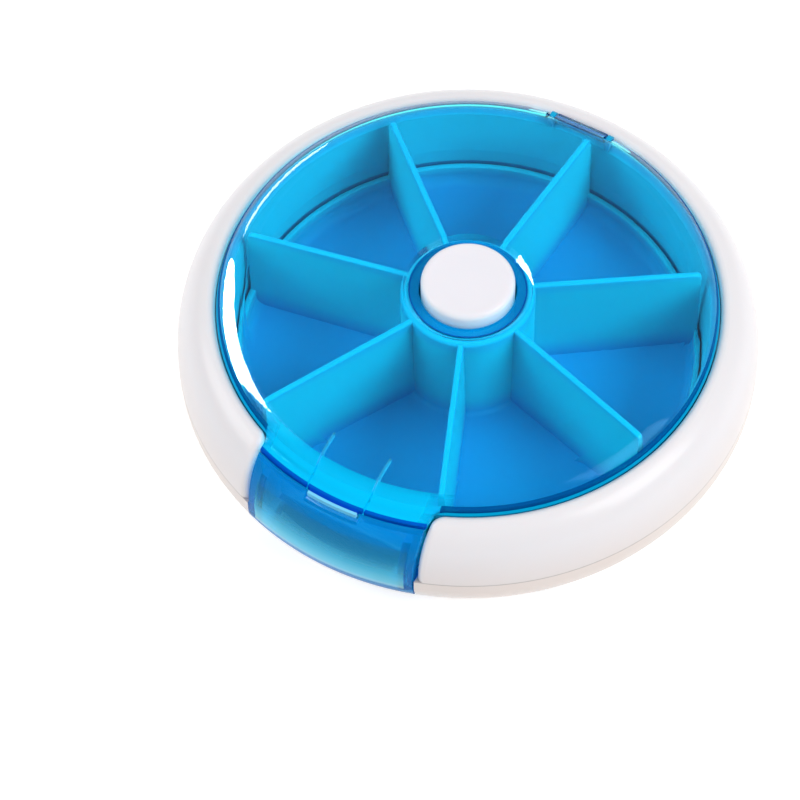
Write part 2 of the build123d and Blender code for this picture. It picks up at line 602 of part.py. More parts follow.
# Lid: clear domed disc with a dished collar, a lip over the door and a hinge knuckle
with BuildPart() as lid:
    with BuildSketch(Plane.XZ):
        with BuildLine():
            collar = Polyline(
                (collar_outer, dome_height(collar_outer) - LID_WALL),
                (collar_outer, COLLAR_FLOOR_TOP - LID_WALL),
                (COLLAR_HOLE_RADIUS, COLLAR_FLOOR_TOP - LID_WALL),
                (COLLAR_HOLE_RADIUS, COLLAR_FLOOR_TOP),
                (COLLAR_HOLE_RADIUS + COLLAR_FLOOR_WIDTH, COLLAR_FLOOR_TOP),
                (collar_rim, dome_height(collar_rim)),
            )
            dome = ThreePointArc(
                collar @ 1,
                (dome_middle, dome_height(dome_middle)),
                (lid_shoulder_radius, LID_SHOULDER_TOP),
            )
            shoulder = TangentArc(dome @ 1, (lid_radius, LID_EDGE_TOP), tangent=dome % 1)
            lip = Polyline(
                shoulder @ 1,
                (lid_lip_radius, LID_LIP_TOP),
                (lid_lip_radius, lip_bottom),
                (lip_step, lip_bottom),
                (lip_step - LIP_STEP_WIDTH, lid_edge_bottom),
                (lid_radius - LID_EDGE_WIDTH, lid_edge_bottom),
            )
            under_shoulder = ThreePointArc(
                lip @ 1,
                (shoulder_middle, dome_height(shoulder_middle) - LID_WALL - SEAT_GAP),
                (under_radius, dome_height(under_radius) - LID_WALL),
            )
            ThreePointArc(
                under_shoulder @ 1,
                (dome_middle, dome_height(dome_middle) - LID_WALL),
                collar @ 0,
            )
        make_face()
    revolve(axis=Axis.Z)
    with BuildSketch(Plane.XY):
        add(lid_plan)
    extrude(amount=TALL, mode=Mode.INTERSECT)
    with BuildSketch(Plane.XY.offset(lip_bottom)):
        with Locations((0, -lid_lip_radius)):
            Rectangle(LID_TAB_WIDTH, TALL / 2)
        Circle(lid_lip_radius + LID_TAB_REACH, mode=Mode.INTERSECT)
        Circle(lid_lip_radius - LID_TAB_REACH, mode=Mode.SUBTRACT)
    extrude(amount=LID_LIP_THICKNESS)
    with BuildSketch(Plane.XY):
        with Locations((0, hinge_pin_y + TALL / 2 - notch_inset)):
            Rectangle(HINGE_PIN_LENGTH + 2 * LID_EDGE_GAP, TALL)
    extrude(amount=TALL, mode=Mode.SUBTRACT)
    with BuildSketch(Plane.YZ):
        with Locations((hinge_pin_y, HINGE_PIN_HEIGHT)):
            Circle(HINGE_BARREL_RADIUS)
        with BuildLine():
            Polyline(
                (hinge_pin_y, HINGE_PIN_HEIGHT + HINGE_BARREL_RADIUS),
                (web_root, dome_height(web_root) - KNUCKLE_WEB_DROP),
                (web_root, dome_height(web_root) - LID_WALL),
                (hinge_pin_y - HINGE_BARREL_RADIUS, HINGE_PIN_HEIGHT - SEAT_GAP),
                (hinge_pin_y, HINGE_PIN_HEIGHT + HINGE_BARREL_RADIUS),
            )
        make_face()
    extrude(amount=HINGE_BARREL_LENGTH / 2, both=True)
    with BuildSketch(Plane.YZ):
        with Locations((hinge_pin_y, HINGE_PIN_HEIGHT)):
            Circle(HINGE_PIN_RADIUS + RUNNING_FIT)
    extrude(amount=HINGE_PIN_LENGTH, both=True, mode=Mode.SUBTRACT)
    with BuildSketch(Plane.XY):
        with Locations((slit_place, slit_middle), (-slit_place, slit_middle)):
            Rectangle(LATCH_SLIT_WIDTH, TALL)
    extrude(amount=TALL, mode=Mode.SUBTRACT)
lid.part.label = "lid"
export_step(lid.part, "parts/lid.step")

# Lid hinge pin, held in the liner's two ears
with BuildPart() as lid_hinge_pin:
    with BuildSketch(Plane.YZ):
        with Locations((hinge_pin_y, HINGE_PIN_HEIGHT)):
            Circle(HINGE_PIN_RADIUS)
    extrude(amount=HINGE_PIN_LENGTH / 2, both=True)
lid_hinge_pin.part.label = "lid_hinge_pin"
export_step(lid_hinge_pin.part, "parts/lid_hinge_pin.step")

# Door: clear curved cover, gate wall, two cheeks and their pin bosses
with BuildPart() as door:
    with BuildSketch(Plane.XZ):
        add(case_outside)
        add(door_inside, mode=Mode.SUBTRACT)
        with Locations((0, DOOR_LOWER_EDGE - TALL / 2)):
            Rectangle(2 * TALL, TALL, mode=Mode.SUBTRACT)
        with Locations((0, TALL / 2)):
            Rectangle(2 * door_top_radius, TALL, mode=Mode.SUBTRACT)
    revolve(axis=Axis.Z)
    front_block(door_half, 0, 0, TALL, Mode.INTERSECT)
    side_blocks(
        gate_half - DOOR_CHEEK_WALL, gate_half, gate_inner_y, -CASE_RADIUS,
        DOOR_PIVOT_HEIGHT - DOOR_BOSS_RADIUS, GATE_TOP,
    )
    with BuildSketch(Plane.XY.offset(gate_bottom)):
        with Locations((0, (gate_inner_y + gate_outer_y) / 2)):
            Rectangle(2 * gate_half, GATE_WALL)
    extrude(amount=GATE_TOP - gate_bottom)
    cross_rods(
        DOOR_BOSS_RADIUS, gate_half - 2 * DOOR_CHEEK_WALL, door_half,
        door_pivot_y, DOOR_PIVOT_HEIGHT,
    )
    with BuildSketch(Plane.XZ):
        add(case_outside)
        with Locations((0, DOOR_LOWER_EDGE - TALL / 2)):
            Rectangle(2 * TALL, TALL, mode=Mode.SUBTRACT)
    revolve(axis=Axis.Z, mode=Mode.INTERSECT)
    cross_rods(
        DOOR_PIN_RADIUS + RUNNING_FIT, 0, slot_half, door_pivot_y, DOOR_PIVOT_HEIGHT, Mode.SUBTRACT
    )
    with BuildSketch(Plane.XY.offset(roof_bottom)):
        with Locations((0, -lid_lip_radius)):
            Rectangle(LID_TAB_WIDTH + 2 * LID_EDGE_GAP, TALL / 2)
        Circle(lid_lip_radius + LID_TAB_REACH + LID_EDGE_GAP, mode=Mode.INTERSECT)
    extrude(amount=TALL, mode=Mode.SUBTRACT)
door.part.label = "door"
export_step(door.part, "parts/door.step")

# Door pins, pressed into the slot's end walls
with BuildPart() as door_pins:
    cross_rods(
        DOOR_PIN_RADIUS, gate_half - 2 * DOOR_CHEEK_WALL, slot_half + SLOT_END_WALL,
        door_pivot_y, DOOR_PIVOT_HEIGHT,
    )
door_pins.part.label = "door_pins"
export_step(door_pins.part, "parts/door_pins.step")

# Button cap: the white cup that the finger presses
with BuildPart() as button_cap:
    ring(0, BUTTON_RADIUS, cap_bottom, BUTTON_TOP)
    fillet(button_cap.faces().sort_by(Axis.Z)[-1].edges(), BUTTON_EDGE_ROUND)
    ring(0, cap_bore, cap_bottom, BUTTON_TOP - BUTTON_CAP_TOP, Mode.SUBTRACT)
button_cap.part.label = "button_cap"
export_step(button_cap.part, "parts/button_cap.step")

# Button plunger: sleeve on the post, spring seat, outer tube and drive flange
with BuildPart() as button_plunger:
    ring(plunger_tube_bore, plunger_radius, plunger_bottom, plunger_top)
    ring(plunger_tube_bore, DRIVE_RING_RADIUS, plunger_bottom, cap_bottom - SEAT_GAP)
    ring(0, plunger_radius, spring_seat_top, plunger_top)
    ring(0, sleeve_radius, plunger_bottom, plunger_top)
    post_shaped_hole(plunger_bottom, plunger_top)
button_plunger.part.label = "button_plunger"
export_step(button_plunger.part, "parts/button_plunger.step")

# Drive fingers: three springy fingers on a ring under the plunger's flange
with BuildPart() as drive_fingers:
    ring(
        DRIVE_RING_RADIUS - SEAT_GAP - FINGER_WIDTH, DRIVE_RING_RADIUS - SEAT_GAP,
        plunger_bottom - DRIVE_RING_THICKNESS, plunger_bottom,
    )
    for finger in range(FINGER_COUNT):
        direction = Vector(1, 0, 0).rotate(Axis.Z, finger * 360 / FINGER_COUNT)
        across = Vector(0, 1, 0).rotate(Axis.Z, finger * 360 / FINGER_COUNT)
        root = direction * (DRIVE_RING_RADIUS - 2 * SEAT_GAP - FINGER_WIDTH)
        root = root + Vector(0, 0, plunger_bottom - DRIVE_RING_THICKNESS + SEAT_GAP)
        with BuildSketch(Plane(origin=root, x_dir=across, z_dir=direction)):
            Polygon(
                (-FINGER_THICKNESS, 0),
                (0, 0),
                (FINGER_REACH / 2, -FINGER_REACH),
                (FINGER_REACH / 2 - FINGER_THICKNESS, -FINGER_REACH),
                align=None,
            )
        extrude(amount=FINGER_WIDTH - SEAT_GAP)
drive_fingers.part.label = "drive_fingers"
export_step(drive_fingers.part, "parts/drive_fingers.step")

# Return spring: one unbroken wire, each quarter turn two arcs that share their tangents
spring_bottom = clip_top + SPRING_WIRE / 2 + BEARING_GAP
spring_height = spring_seat_top - SPRING_WIRE / 2 - BEARING_GAP - spring_bottom
spring_pitch = spring_height / SPRING_TURNS


def spring_point(turn):
    """Point on the wire's centre line after a number of turns."""
    angle = 2 * math.pi * turn
    height = spring_bottom + spring_pitch * turn
    return Vector(spring_radius * math.cos(angle), spring_radius * math.sin(angle), height)


def spring_tangent(turn):
    """Direction of the wire's centre line after a number of turns."""
    angle = 2 * math.pi * turn
    around = 2 * math.pi * spring_radius
    return Vector(-around * math.sin(angle), around * math.cos(angle), spring_pitch).normalized()


spring_gap = min(
    (spring_point(lower / SPRING_SAMPLES) - spring_point(upper / SPRING_SAMPLES)).length
    - SPRING_WIRE
    for lower in range(0, SPRING_SAMPLES * SPRING_TURNS)
    for upper in range(lower + SPRING_SAMPLES // 2, SPRING_SAMPLES * SPRING_TURNS + 1)
)
print(f"return spring: least gap between turns {spring_gap:.2f} mm")
with BuildPart() as return_spring:
    with BuildLine() as wire_path:
        for quarter in range(4 * SPRING_TURNS):
            start = spring_point(quarter / 4)
            end = spring_point((quarter + 1) / 4)
            start_way = spring_tangent(quarter / 4)
            end_way = spring_tangent((quarter + 1) / 4)
            chord = end - start
            both_ways = start_way + end_way
            spread = 4 - both_ways.dot(both_ways)
            along = chord.dot(both_ways)
            reach = (math.sqrt(along**2 + chord.dot(chord) * spread) - along) / spread
            joint = (start + start_way * reach + end - end_way * reach) * 0.5
            first = TangentArc(start, joint, tangent=start_way)
            TangentArc(joint, end, tangent=first % 1)
    with BuildSketch(Plane(origin=wire_path.line @ 0, z_dir=wire_path.line % 0)):
        Circle(SPRING_WIRE / 2)
    sweep()
return_spring.part.label = "return_spring"
export_step(return_spring.part, "parts/return_spring.step")

# Retaining clip on the journal's shoulder, which keeps the tray down and seats the spring
with BuildPart() as retaining_clip:
    ring(0, CLIP_RADIUS, JOURNAL_TOP, clip_top)
    post_shaped_hole(JOURNAL_TOP, clip_top)
retaining_clip.part.label = "retaining_clip"
export_step(retaining_clip.part, "parts/retaining_clip.step")

# Thrust washer under the tray's bearing
with BuildPart() as thrust_washer:
    ring(tray_bore, tray_bearing_radius, BASE_FLOOR, BASE_FLOOR + WASHER_THICKNESS)
thrust_washer.part.label = "thrust_washer"
export_step(thrust_washer.part, "parts/thrust_washer.step")

# Stop washer on the post's end, which the plunger comes up against
with BuildPart() as stop_washer:
    ring(SPINDLE_SCREW_SHANK + SEAT_GAP, STOP_WASHER_RADIUS, POST_TOP, POST_TOP + WASHER_THICKNESS)
stop_washer.part.label = "stop_washer"
export_step(stop_washer.part, "parts/stop_washer.step")

# Spindle screw with its cross recess
spindle_seat = POST_TOP + WASHER_THICKNESS
with BuildPart() as spindle_screw:
    ring(0, SPINDLE_SCREW_SHANK, POST_TOP - SPINDLE_SCREW_LENGTH + SEAT_GAP, spindle_seat)
    ring(0, SPINDLE_SCREW_HEAD_RADIUS, spindle_seat, spindle_seat + SPINDLE_SCREW_HEAD)
    with BuildSketch(Plane.XY.offset(spindle_seat + SPINDLE_SCREW_HEAD - RECESS_DEPTH)):
        Rectangle(2 * RECESS_SHARE * SPINDLE_SCREW_HEAD_RADIUS, RECESS_WIDTH)
        Rectangle(RECESS_WIDTH, 2 * RECESS_SHARE * SPINDLE_SCREW_HEAD_RADIUS)
    extrude(amount=RECESS_DEPTH, mode=Mode.SUBTRACT)
spindle_screw.part.label = "spindle_screw"
export_step(spindle_screw.part, "parts/spindle_screw.step")

# Index spring: a bent strip on the base whose bump clicks into the hub's notches
with BuildPart() as index_spring:
    with BuildSketch(Plane.XZ.offset(-INDEX_STRIP_RADIUS - INDEX_STRIP_WIDTH / 2)):
        with BuildLine():
            under = Polyline(
                (INDEX_FOOT_END, BASE_FLOOR),
                (INDEX_FOOT_START, BASE_FLOOR),
                (index_bump_x + INDEX_BUMP_WIDTH / 2, BASE_FLOOR + INDEX_ARM_RISE),
                (index_bump_x, BASE_FLOOR + INDEX_ARM_RISE + INDEX_BUMP_RISE),
                (index_bump_x - INDEX_BUMP_WIDTH / 2, BASE_FLOOR + INDEX_ARM_RISE),
            )
            over = Polyline(
                under @ 1,
                (index_bump_x - INDEX_BUMP_WIDTH / 2, index_arm_top),
                (index_bump_x, index_arm_top + INDEX_BUMP_RISE),
                (index_bump_x + INDEX_BUMP_WIDTH / 2, index_arm_top),
                (INDEX_FOOT_START, BASE_FLOOR + INDEX_STRIP_THICKNESS),
                (INDEX_FOOT_END, BASE_FLOOR + INDEX_STRIP_THICKNESS),
                under @ 0,
            )
        make_face()
    extrude(amount=INDEX_STRIP_WIDTH)
    with BuildSketch(Plane.XY.offset(BASE_FLOOR)):
        with Locations((index_screw_x, INDEX_STRIP_RADIUS)):
            Circle(INDEX_SCREW_SHANK)
    extrude(amount=INDEX_STRIP_THICKNESS, mode=Mode.SUBTRACT)
index_spring.part.label = "index_spring"
export_step(index_spring.part, "parts/index_spring.step")

# Index screw, which holds the index spring's foot
with BuildPart() as index_screw:
    with BuildSketch(Plane.XY.offset(index_screw_tip)):
        with Locations((index_screw_x, INDEX_STRIP_RADIUS)):
            Circle(INDEX_SCREW_SHANK)
    extrude(amount=INDEX_SCREW_LENGTH)
    with BuildSketch(Plane.XY.offset(index_screw_tip + INDEX_SCREW_LENGTH)):
        with Locations((index_screw_x, INDEX_STRIP_RADIUS)):
            Circle(INDEX_SCREW_HEAD_RADIUS)
    extrude(amount=INDEX_SCREW_HEAD)
index_screw.part.label = "index_screw"
export_step(index_screw.part, "parts/index_screw.step")

# Case screws, driven up from the underside
with BuildPart() as case_screws:
    screw_posts(CASE_SCREW_HEAD_RADIUS, CASE_SEAT_HEIGHT - CASE_SCREW_HEAD, CASE_SEAT_HEIGHT)
    screw_posts(CASE_SCREW_SHANK, CASE_SEAT_HEIGHT, CASE_SEAT_HEIGHT + CASE_SCREW_LENGTH)
    with BuildSketch(Plane.XY.offset(CASE_SEAT_HEIGHT - CASE_SCREW_HEAD)):
        with PolarLocations(case_screw_circle, CASE_SCREW_COUNT, start_angle=QUARTER_TURN / 2):
            Rectangle(2 * RECESS_SHARE * CASE_SCREW_HEAD_RADIUS, RECESS_WIDTH)
            Rectangle(RECESS_WIDTH, 2 * RECESS_SHARE * CASE_SCREW_HEAD_RADIUS)
    extrude(amount=RECESS_DEPTH, mode=Mode.SUBTRACT)
case_screws.part.label = "case_screws"
export_step(case_screws.part, "parts/case_screws.step")
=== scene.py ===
"""A rotating weekly pill organizer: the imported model, dressed for a photograph."""
import json
import logging
import math
from abc import ABC, abstractmethod
from dataclasses import dataclass
from enum import Enum
from typing import Callable, Sequence

import bpy
from mathutils import Matrix, Vector

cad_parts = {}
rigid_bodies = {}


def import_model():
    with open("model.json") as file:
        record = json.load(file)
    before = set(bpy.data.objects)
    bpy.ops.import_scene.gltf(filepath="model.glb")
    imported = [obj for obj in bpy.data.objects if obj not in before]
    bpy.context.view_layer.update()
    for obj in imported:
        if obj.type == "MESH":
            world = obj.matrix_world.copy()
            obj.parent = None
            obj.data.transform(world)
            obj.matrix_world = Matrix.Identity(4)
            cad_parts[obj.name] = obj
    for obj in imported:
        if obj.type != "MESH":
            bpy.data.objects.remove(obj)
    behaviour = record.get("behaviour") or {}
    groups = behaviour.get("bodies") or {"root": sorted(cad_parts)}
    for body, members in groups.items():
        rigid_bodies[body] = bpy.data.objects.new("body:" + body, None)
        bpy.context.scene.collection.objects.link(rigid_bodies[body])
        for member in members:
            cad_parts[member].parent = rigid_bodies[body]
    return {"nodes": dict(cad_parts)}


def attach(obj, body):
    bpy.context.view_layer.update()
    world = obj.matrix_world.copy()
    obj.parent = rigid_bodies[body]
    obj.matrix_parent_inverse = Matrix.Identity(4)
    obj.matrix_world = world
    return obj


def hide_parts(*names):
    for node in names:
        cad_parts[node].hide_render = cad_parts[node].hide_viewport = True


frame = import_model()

log = logging.getLogger("organizer")

Point = tuple[float, float]
Colour = tuple[float, float, float]
Piece = bpy.types.Object
Paint = bpy.types.Material
Socket = bpy.types.NodeSocket
Feed = Socket | Colour | float

# Scales, steps and limits
MM = 0.001
RING_STEPS = 192
MERGE_DISTANCE = 1e-6
SHARP_EDGE = 40
GRAIN_LOW = 0.3
GRAIN_HIGH = 0.7
MASK_LIMIT = 0.5
FIRST_MIRROR = 1.5

# Colours that are used more than once
PURE_WHITE = (1.0, 1.0, 1.0)
DEEP_BLUE = (0.0, 0.12, 0.35)


class Body(Enum):
    """The moving groups that the finer pieces ride on."""

    TRAY = "tray"
    BUTTON = "button"


class Sum(Enum):
    """The sums that a mask is worked out with."""

    LESS = "LESS_THAN"
    MORE = "GREATER_THAN"
    TIMES = "MULTIPLY"
    MINUS = "SUBTRACT"
    UNSIGNED = "ABSOLUTE"
    LARGER = "MAXIMUM"


class Layering(Enum):
    """How a second colour works on a first."""

    COVER = "MIX"
    DARKEN = "MULTIPLY"


class Axis(Enum):
    """The axes of the object coordinates."""

    ACROSS = "X"
    DEEP = "Y"
    UP = "Z"


# Modelling by hand


def put_down_all() -> None:
    """Leave edit mode and deselect every object."""
    if bpy.context.object and bpy.context.object.mode != "OBJECT":
        bpy.ops.object.mode_set(mode="OBJECT")
    for thing in bpy.context.view_layer.objects:
        thing.select_set(False)


def pick_up(piece: Piece) -> None:
    """Make one object the only selected and active one.

    Args:
        piece: the object to work on.
    """
    put_down_all()
    piece.select_set(True)
    bpy.context.view_layer.objects.active = piece


def fresh(name: str) -> Piece:
    """Name the object that an operator has just added.

    Args:
        name: the piece's name.

    Returns:
        The named object.
    """
    piece = bpy.context.object
    piece.name = name
    piece.data.name = name
    return piece


def settle(piece: Piece) -> Piece:
    """Apply place, turn and size, so that the object sits at the origin.

    Args:
        piece: the object to settle.

    Returns:
        The same object.
    """
    pick_up(piece)
    bpy.ops.object.transform_apply(location=True, rotation=True, scale=True)
    return piece


def tidy_mesh(piece: Piece) -> None:
    """Merge doubled points and turn every face outwards.

    Args:
        piece: the object to tidy.
    """
    pick_up(piece)
    bpy.ops.object.mode_set(mode="EDIT")
    bpy.ops.mesh.select_all(action="SELECT")
    bpy.ops.mesh.remove_doubles(threshold=MERGE_DISTANCE)
    bpy.ops.mesh.normals_make_consistent(inside=False)
    bpy.ops.object.mode_set(mode="OBJECT")


def start_ring(name: str, corner: Point) -> Piece:
    """Add the first ring of a turned piece and stay in edit mode.

    Args:
        name: the piece's name.
        corner: radius and height of the ring in millimetres.

    Returns:
        The piece, with its ring selected.
    """
    put_down_all()
    radius, height = corner
    bpy.ops.mesh.primitive_circle_add(
        vertices=RING_STEPS, radius=radius * MM, fill_type="NOTHING", location=(0, 0, 0)
    )
    piece = fresh(name)
    bpy.ops.object.mode_set(mode="EDIT")
    bpy.ops.mesh.select_all(action="SELECT")
    bpy.ops.transform.translate(value=(0, 0, height * MM))
    return piece


def draw_rings(start: Point, corners: Sequence[Point]) -> None:
    """Extrude the selected ring from corner to corner of a section.

    Args:
        start: radius and height of the selected ring in millimetres.
        corners: radius and height of each next ring, in order.
    """
    radius, height = start
    for next_radius, next_height in corners:
        ratio = next_radius / radius
        bpy.ops.mesh.extrude_edges_move(
            TRANSFORM_OT_translate={"value": (0, 0, (next_height - height) * MM)}
        )
        bpy.ops.transform.resize(value=(ratio, ratio, 1), center_override=(0, 0, 0))
        radius, height = next_radius, next_height


def turned(name: str, profile: Sequence[Point]) -> Piece:
    """Turn a closed profile round the vertical axis, ring by ring.

    Args:
        name: the piece's name.
        profile: radius and height of each corner in millimetres, in order round the section.

    Returns:
        The closed turned piece.
    """
    piece = start_ring(name, profile[0])
    draw_rings(profile[0], [*profile[1:], profile[0]])
    bpy.ops.object.mode_set(mode="OBJECT")
    tidy_mesh(piece)
    return piece


def turned_cup(name: str, profile: Sequence[Point]) -> Piece:
    """Turn an open profile that starts and ends on the vertical axis.

    Args:
        name: the piece's name.
        profile: radius and height of each corner in millimetres, the first and last on the axis.

    Returns:
        The closed turned piece.
    """
    piece = start_ring(name, profile[1])
    draw_rings(profile[1], profile[2:-1])
    close_pole(profile[-1][1] - profile[-2][1])
    bpy.ops.mesh.select_mode(type="VERT")
    bpy.ops.mesh.select_all(action="DESELECT")
    bpy.ops.mesh.select_non_manifold()
    close_pole(profile[0][1] - profile[1][1])
    bpy.ops.object.mode_set(mode="OBJECT")
    tidy_mesh(piece)
    return piece


def close_pole(rise: float) -> None:
    """Close the selected ring of an open edge in a point on the axis.

    Args:
        rise: how far above the ring the point is, in millimetres.
    """
    bpy.ops.mesh.extrude_edges_move(TRANSFORM_OT_translate={"value": (0, 0, rise * MM)})
    bpy.ops.mesh.merge(type="CENTER")


def join_on(piece: Piece, part: Piece) -> None:
    """Join a part onto a piece as one solid.

    Args:
        piece: the object that is kept.
        part: the object that is joined on and used up.
    """
    pick_up(piece)
    change = piece.modifiers.new("join", "BOOLEAN")
    change.operation = "UNION"
    change.solver = "EXACT"
    change.object = part
    bpy.ops.object.modifier_apply(modifier=change.name)
    bpy.data.objects.remove(part)


def smooth(piece: Piece) -> None:
    """Shade a piece smooth except over its sharp edges.

    Args:
        piece: the object to shade.
    """
    pick_up(piece)
    bpy.ops.object.shade_smooth_by_angle(angle=math.radians(SHARP_EDGE))


def quarter(centre: Point, radius: float, start: float, steps: int) -> list[Point]:
    """Points of a quarter circle, counted anticlockwise from a start angle.

    Args:
        centre: centre of the circle in millimetres.
        radius: its radius.
        start: first angle in degrees.
        steps: how many runs the quarter has.

    Returns:
        The points, both ends included.
    """
    angles = [math.radians(start + 90 * step / steps) for step in range(steps + 1)]
    return [(centre[0] + radius * math.cos(a), centre[1] + radius * math.sin(a)) for a in angles]


def dress(piece: Piece, paint: Paint) -> None:
    """Give a piece one material in every slot.

    Args:
        piece: the object to dress.
        paint: its material.
    """
    if not piece.data.materials:
        piece.data.materials.append(paint)
    for index in range(len(piece.data.materials)):
        piece.data.materials[index] = paint


# Finishes


@dataclass(frozen=True)
class Skin:
    """How uneven a finish is: patches in its colour, and a fine bump.

    Scales are in features per metre, and the bump's height is in millimetres.
    """

    patch_scale: float
    patch_dip: float
    bump_scale: float
    bump_strength: float
    bump_height: float
    bump_detail: float = 2.0


class Nodes:
    """The node tree of a material or of the world, with short ways to add to it."""

    def __init__(self, holder: Paint | bpy.types.World, output: str) -> None:
        """Start an empty tree.

        Args:
            holder: the material or world that has the tree.
            output: the type name of its output node.
        """
        holder.use_nodes = True
        self.holder = holder
        self.tree = holder.node_tree
        self.tree.nodes.clear()
        self.out = self.add(output)

    @classmethod
    def of_paint(cls, name: str) -> "Nodes":
        """Start a new material under a name."""
        return cls(bpy.data.materials.new(name), "ShaderNodeOutputMaterial")

    def add(self, kind: str, **values: object) -> bpy.types.Node:
        """Add a node and set its sockets by name.

        Args:
            kind: the node's type name.
            values: socket values, with underscores for spaces.

        Returns:
            The new node.
        """
        node = self.tree.nodes.new(kind)
        for key, value in values.items():
            node.inputs[key.replace("_", " ")].default_value = value
        return node

    def join(self, source: Socket, target: Socket) -> None:
        """Link one socket to another."""
        self.tree.links.new(source, target)

    def feed(self, source: Feed, target: Socket) -> None:
        """Give a socket what it reads.

        Args:
            source: another socket, a colour or a plain number.
            target: the socket that reads it.
        """
        if isinstance(source, Socket):
            self.join(source, target)
        elif isinstance(source, tuple):
            target.default_value = (*source, 1)
        else:
            target.default_value = source

    def place(self) -> Socket:
        """The object coordinates of the shaded point."""
        return self.add("ShaderNodeTexCoord").outputs["Object"]

    def along(self, axis: Axis) -> Socket:
        """One object coordinate of the shaded point, in metres.

        Args:
            axis: which of the three.

        Returns:
            The coordinate's socket.
        """
        parts = self.add("ShaderNodeSeparateXYZ")
        self.join(self.place(), parts.inputs[0])
        return parts.outputs[axis.value]

    def reach(self) -> Socket:
        """Distance of the shaded point from the vertical axis, in metres."""
        flat = self.tree.nodes.new("ShaderNodeVectorMath")
        flat.operation = "MULTIPLY"
        flat.inputs[1].default_value = (1, 1, 0)
        self.join(self.place(), flat.inputs[0])
        length = self.tree.nodes.new("ShaderNodeVectorMath")
        length.operation = "LENGTH"
        self.join(flat.outputs[0], length.inputs[0])
        return length.outputs["Value"]

    def sum_of(self, how: Sum, first: Socket, second: Feed | None = None) -> Socket:
        """Work out one sum.

        Args:
            how: the kind of sum.
            first: the first socket.
            second: another socket, or a plain number, where the sum has two.

        Returns:
            The result's socket.
        """
        node = self.tree.nodes.new("ShaderNodeMath")
        node.operation = how.value
        self.join(first, node.inputs[0])
        if second is not None:
            self.feed(second, node.inputs[1])
        return node.outputs[0]

    def below(self, measure: Socket, limit: float) -> Socket:
        """1 where a measure in metres is under a limit in millimetres."""
        return self.sum_of(Sum.LESS, measure, limit * MM)

    def beyond(self, measure: Socket, limit: float) -> Socket:
        """1 where a measure in metres is over a limit in millimetres."""
        return self.sum_of(Sum.MORE, measure, limit * MM)

    def share(self, measure: Socket, none: float, full: float) -> Socket:
        """How far a measure has come from one limit to the other.

        Args:
            measure: the measure's socket, in metres.
            none: the limit, in millimetres, where the share is 0.
            full: the limit, in millimetres, where the share is 1.

        Returns:
            The share's socket.
        """
        spread = self.add("ShaderNodeMapRange", From_Min=none * MM, From_Max=full * MM)
        self.join(measure, spread.inputs["Value"])
        return spread.outputs["Result"]

    def grain(self, scale: float, detail: float = 3.0) -> Socket:
        """Noise on object coordinates.

        Args:
            scale: how fine the noise is, in features per metre.
            detail: how many octaves it has.

        Returns:
            The noise's socket.
        """
        noise = self.add("ShaderNodeTexNoise", Scale=scale, Detail=detail)
        self.join(self.place(), noise.inputs["Vector"])
        return noise.outputs["Fac"]

    def ramp(self, source: Socket, stops: Sequence[tuple[float, Colour]]) -> Socket:
        """A colour ramp.

        Args:
            source: the factor's socket.
            stops: position and colour of each stop, in order.

        Returns:
            The colour's socket.
        """
        node = self.tree.nodes.new("ShaderNodeValToRGB")
        bar = node.color_ramp.elements
        while len(bar) < len(stops):
            bar.new(0.5)
        for element, (position, colour) in zip(bar, stops):
            element.position = position
            element.color = (*colour, 1)
        self.join(source, node.inputs["Fac"])
        return node.outputs["Color"]

    def blend(self, share: Feed, first: Feed, second: Feed,
              how: Layering = Layering.COVER) -> Socket:
        """Mix two colours.

        Args:
            share: how much of the second colour works on the first.
            first: the first colour, or its socket.
            second: the second colour, or its socket.
            how: the way that it works on it.

        Returns:
            The mixed colour's socket.
        """
        node = self.tree.nodes.new("ShaderNodeMix")
        node.data_type = "RGBA"
        node.blend_type = how.value
        self.feed(share, node.inputs[0])
        self.feed(first, node.inputs[6])
        self.feed(second, node.inputs[7])
        return node.outputs[2]

    def mottle(self, colour: Feed, skin: Skin) -> Socket:
        """Make a colour a little uneven.

        Args:
            colour: the colour, or its socket.
            skin: how uneven the finish is.

        Returns:
            The uneven colour's socket.
        """
        stops = [(GRAIN_LOW, (skin.patch_dip,) * 3), (GRAIN_HIGH, PURE_WHITE)]
        cloud = self.ramp(self.grain(skin.patch_scale), stops)
        return self.blend(1.0, colour, cloud, Layering.DARKEN)

    def ripple(self, shader: bpy.types.Node, skin: Skin) -> None:
        """Add a fine bump to a shader.

        Args:
            shader: the shader that gets it.
            skin: how uneven the finish is.
        """
        distance = skin.bump_height * MM
        bump = self.add("ShaderNodeBump", Strength=skin.bump_strength, Distance=distance)
        self.join(self.grain(skin.bump_scale, skin.bump_detail), bump.inputs["Height"])
        self.join(bump.outputs["Normal"], shader.inputs["Normal"])

    def mix(self, share: Socket, first: bpy.types.Node, second: bpy.types.Node) -> bpy.types.Node:
        """Mix two shaders.

        Args:
            share: how much of the second shader shows.
            first: the first shader.
            second: the second shader.

        Returns:
            The mixed shader.
        """
        node = self.add("ShaderNodeMixShader")
        self.join(share, node.inputs["Fac"])
        self.join(first.outputs[0], node.inputs[1])
        self.join(second.outputs[0], node.inputs[2])
        return node

    def in_view(self) -> Socket:
        """1 on rays that show a surface: straight, mirrored or through clear plastic."""
        path = self.add("ShaderNodeLightPath").outputs
        unmirrored = self.sum_of(Sum.LARGER, path["Is Camera Ray"], path["Is Transmission Ray"])
        return self.sum_of(Sum.LARGER, unmirrored, path["Is Glossy Ray"])

    def show(self, shader: bpy.types.Node) -> None:
        """Let a shader show on the surface."""
        self.join(shader.outputs[0], self.out.inputs["Surface"])


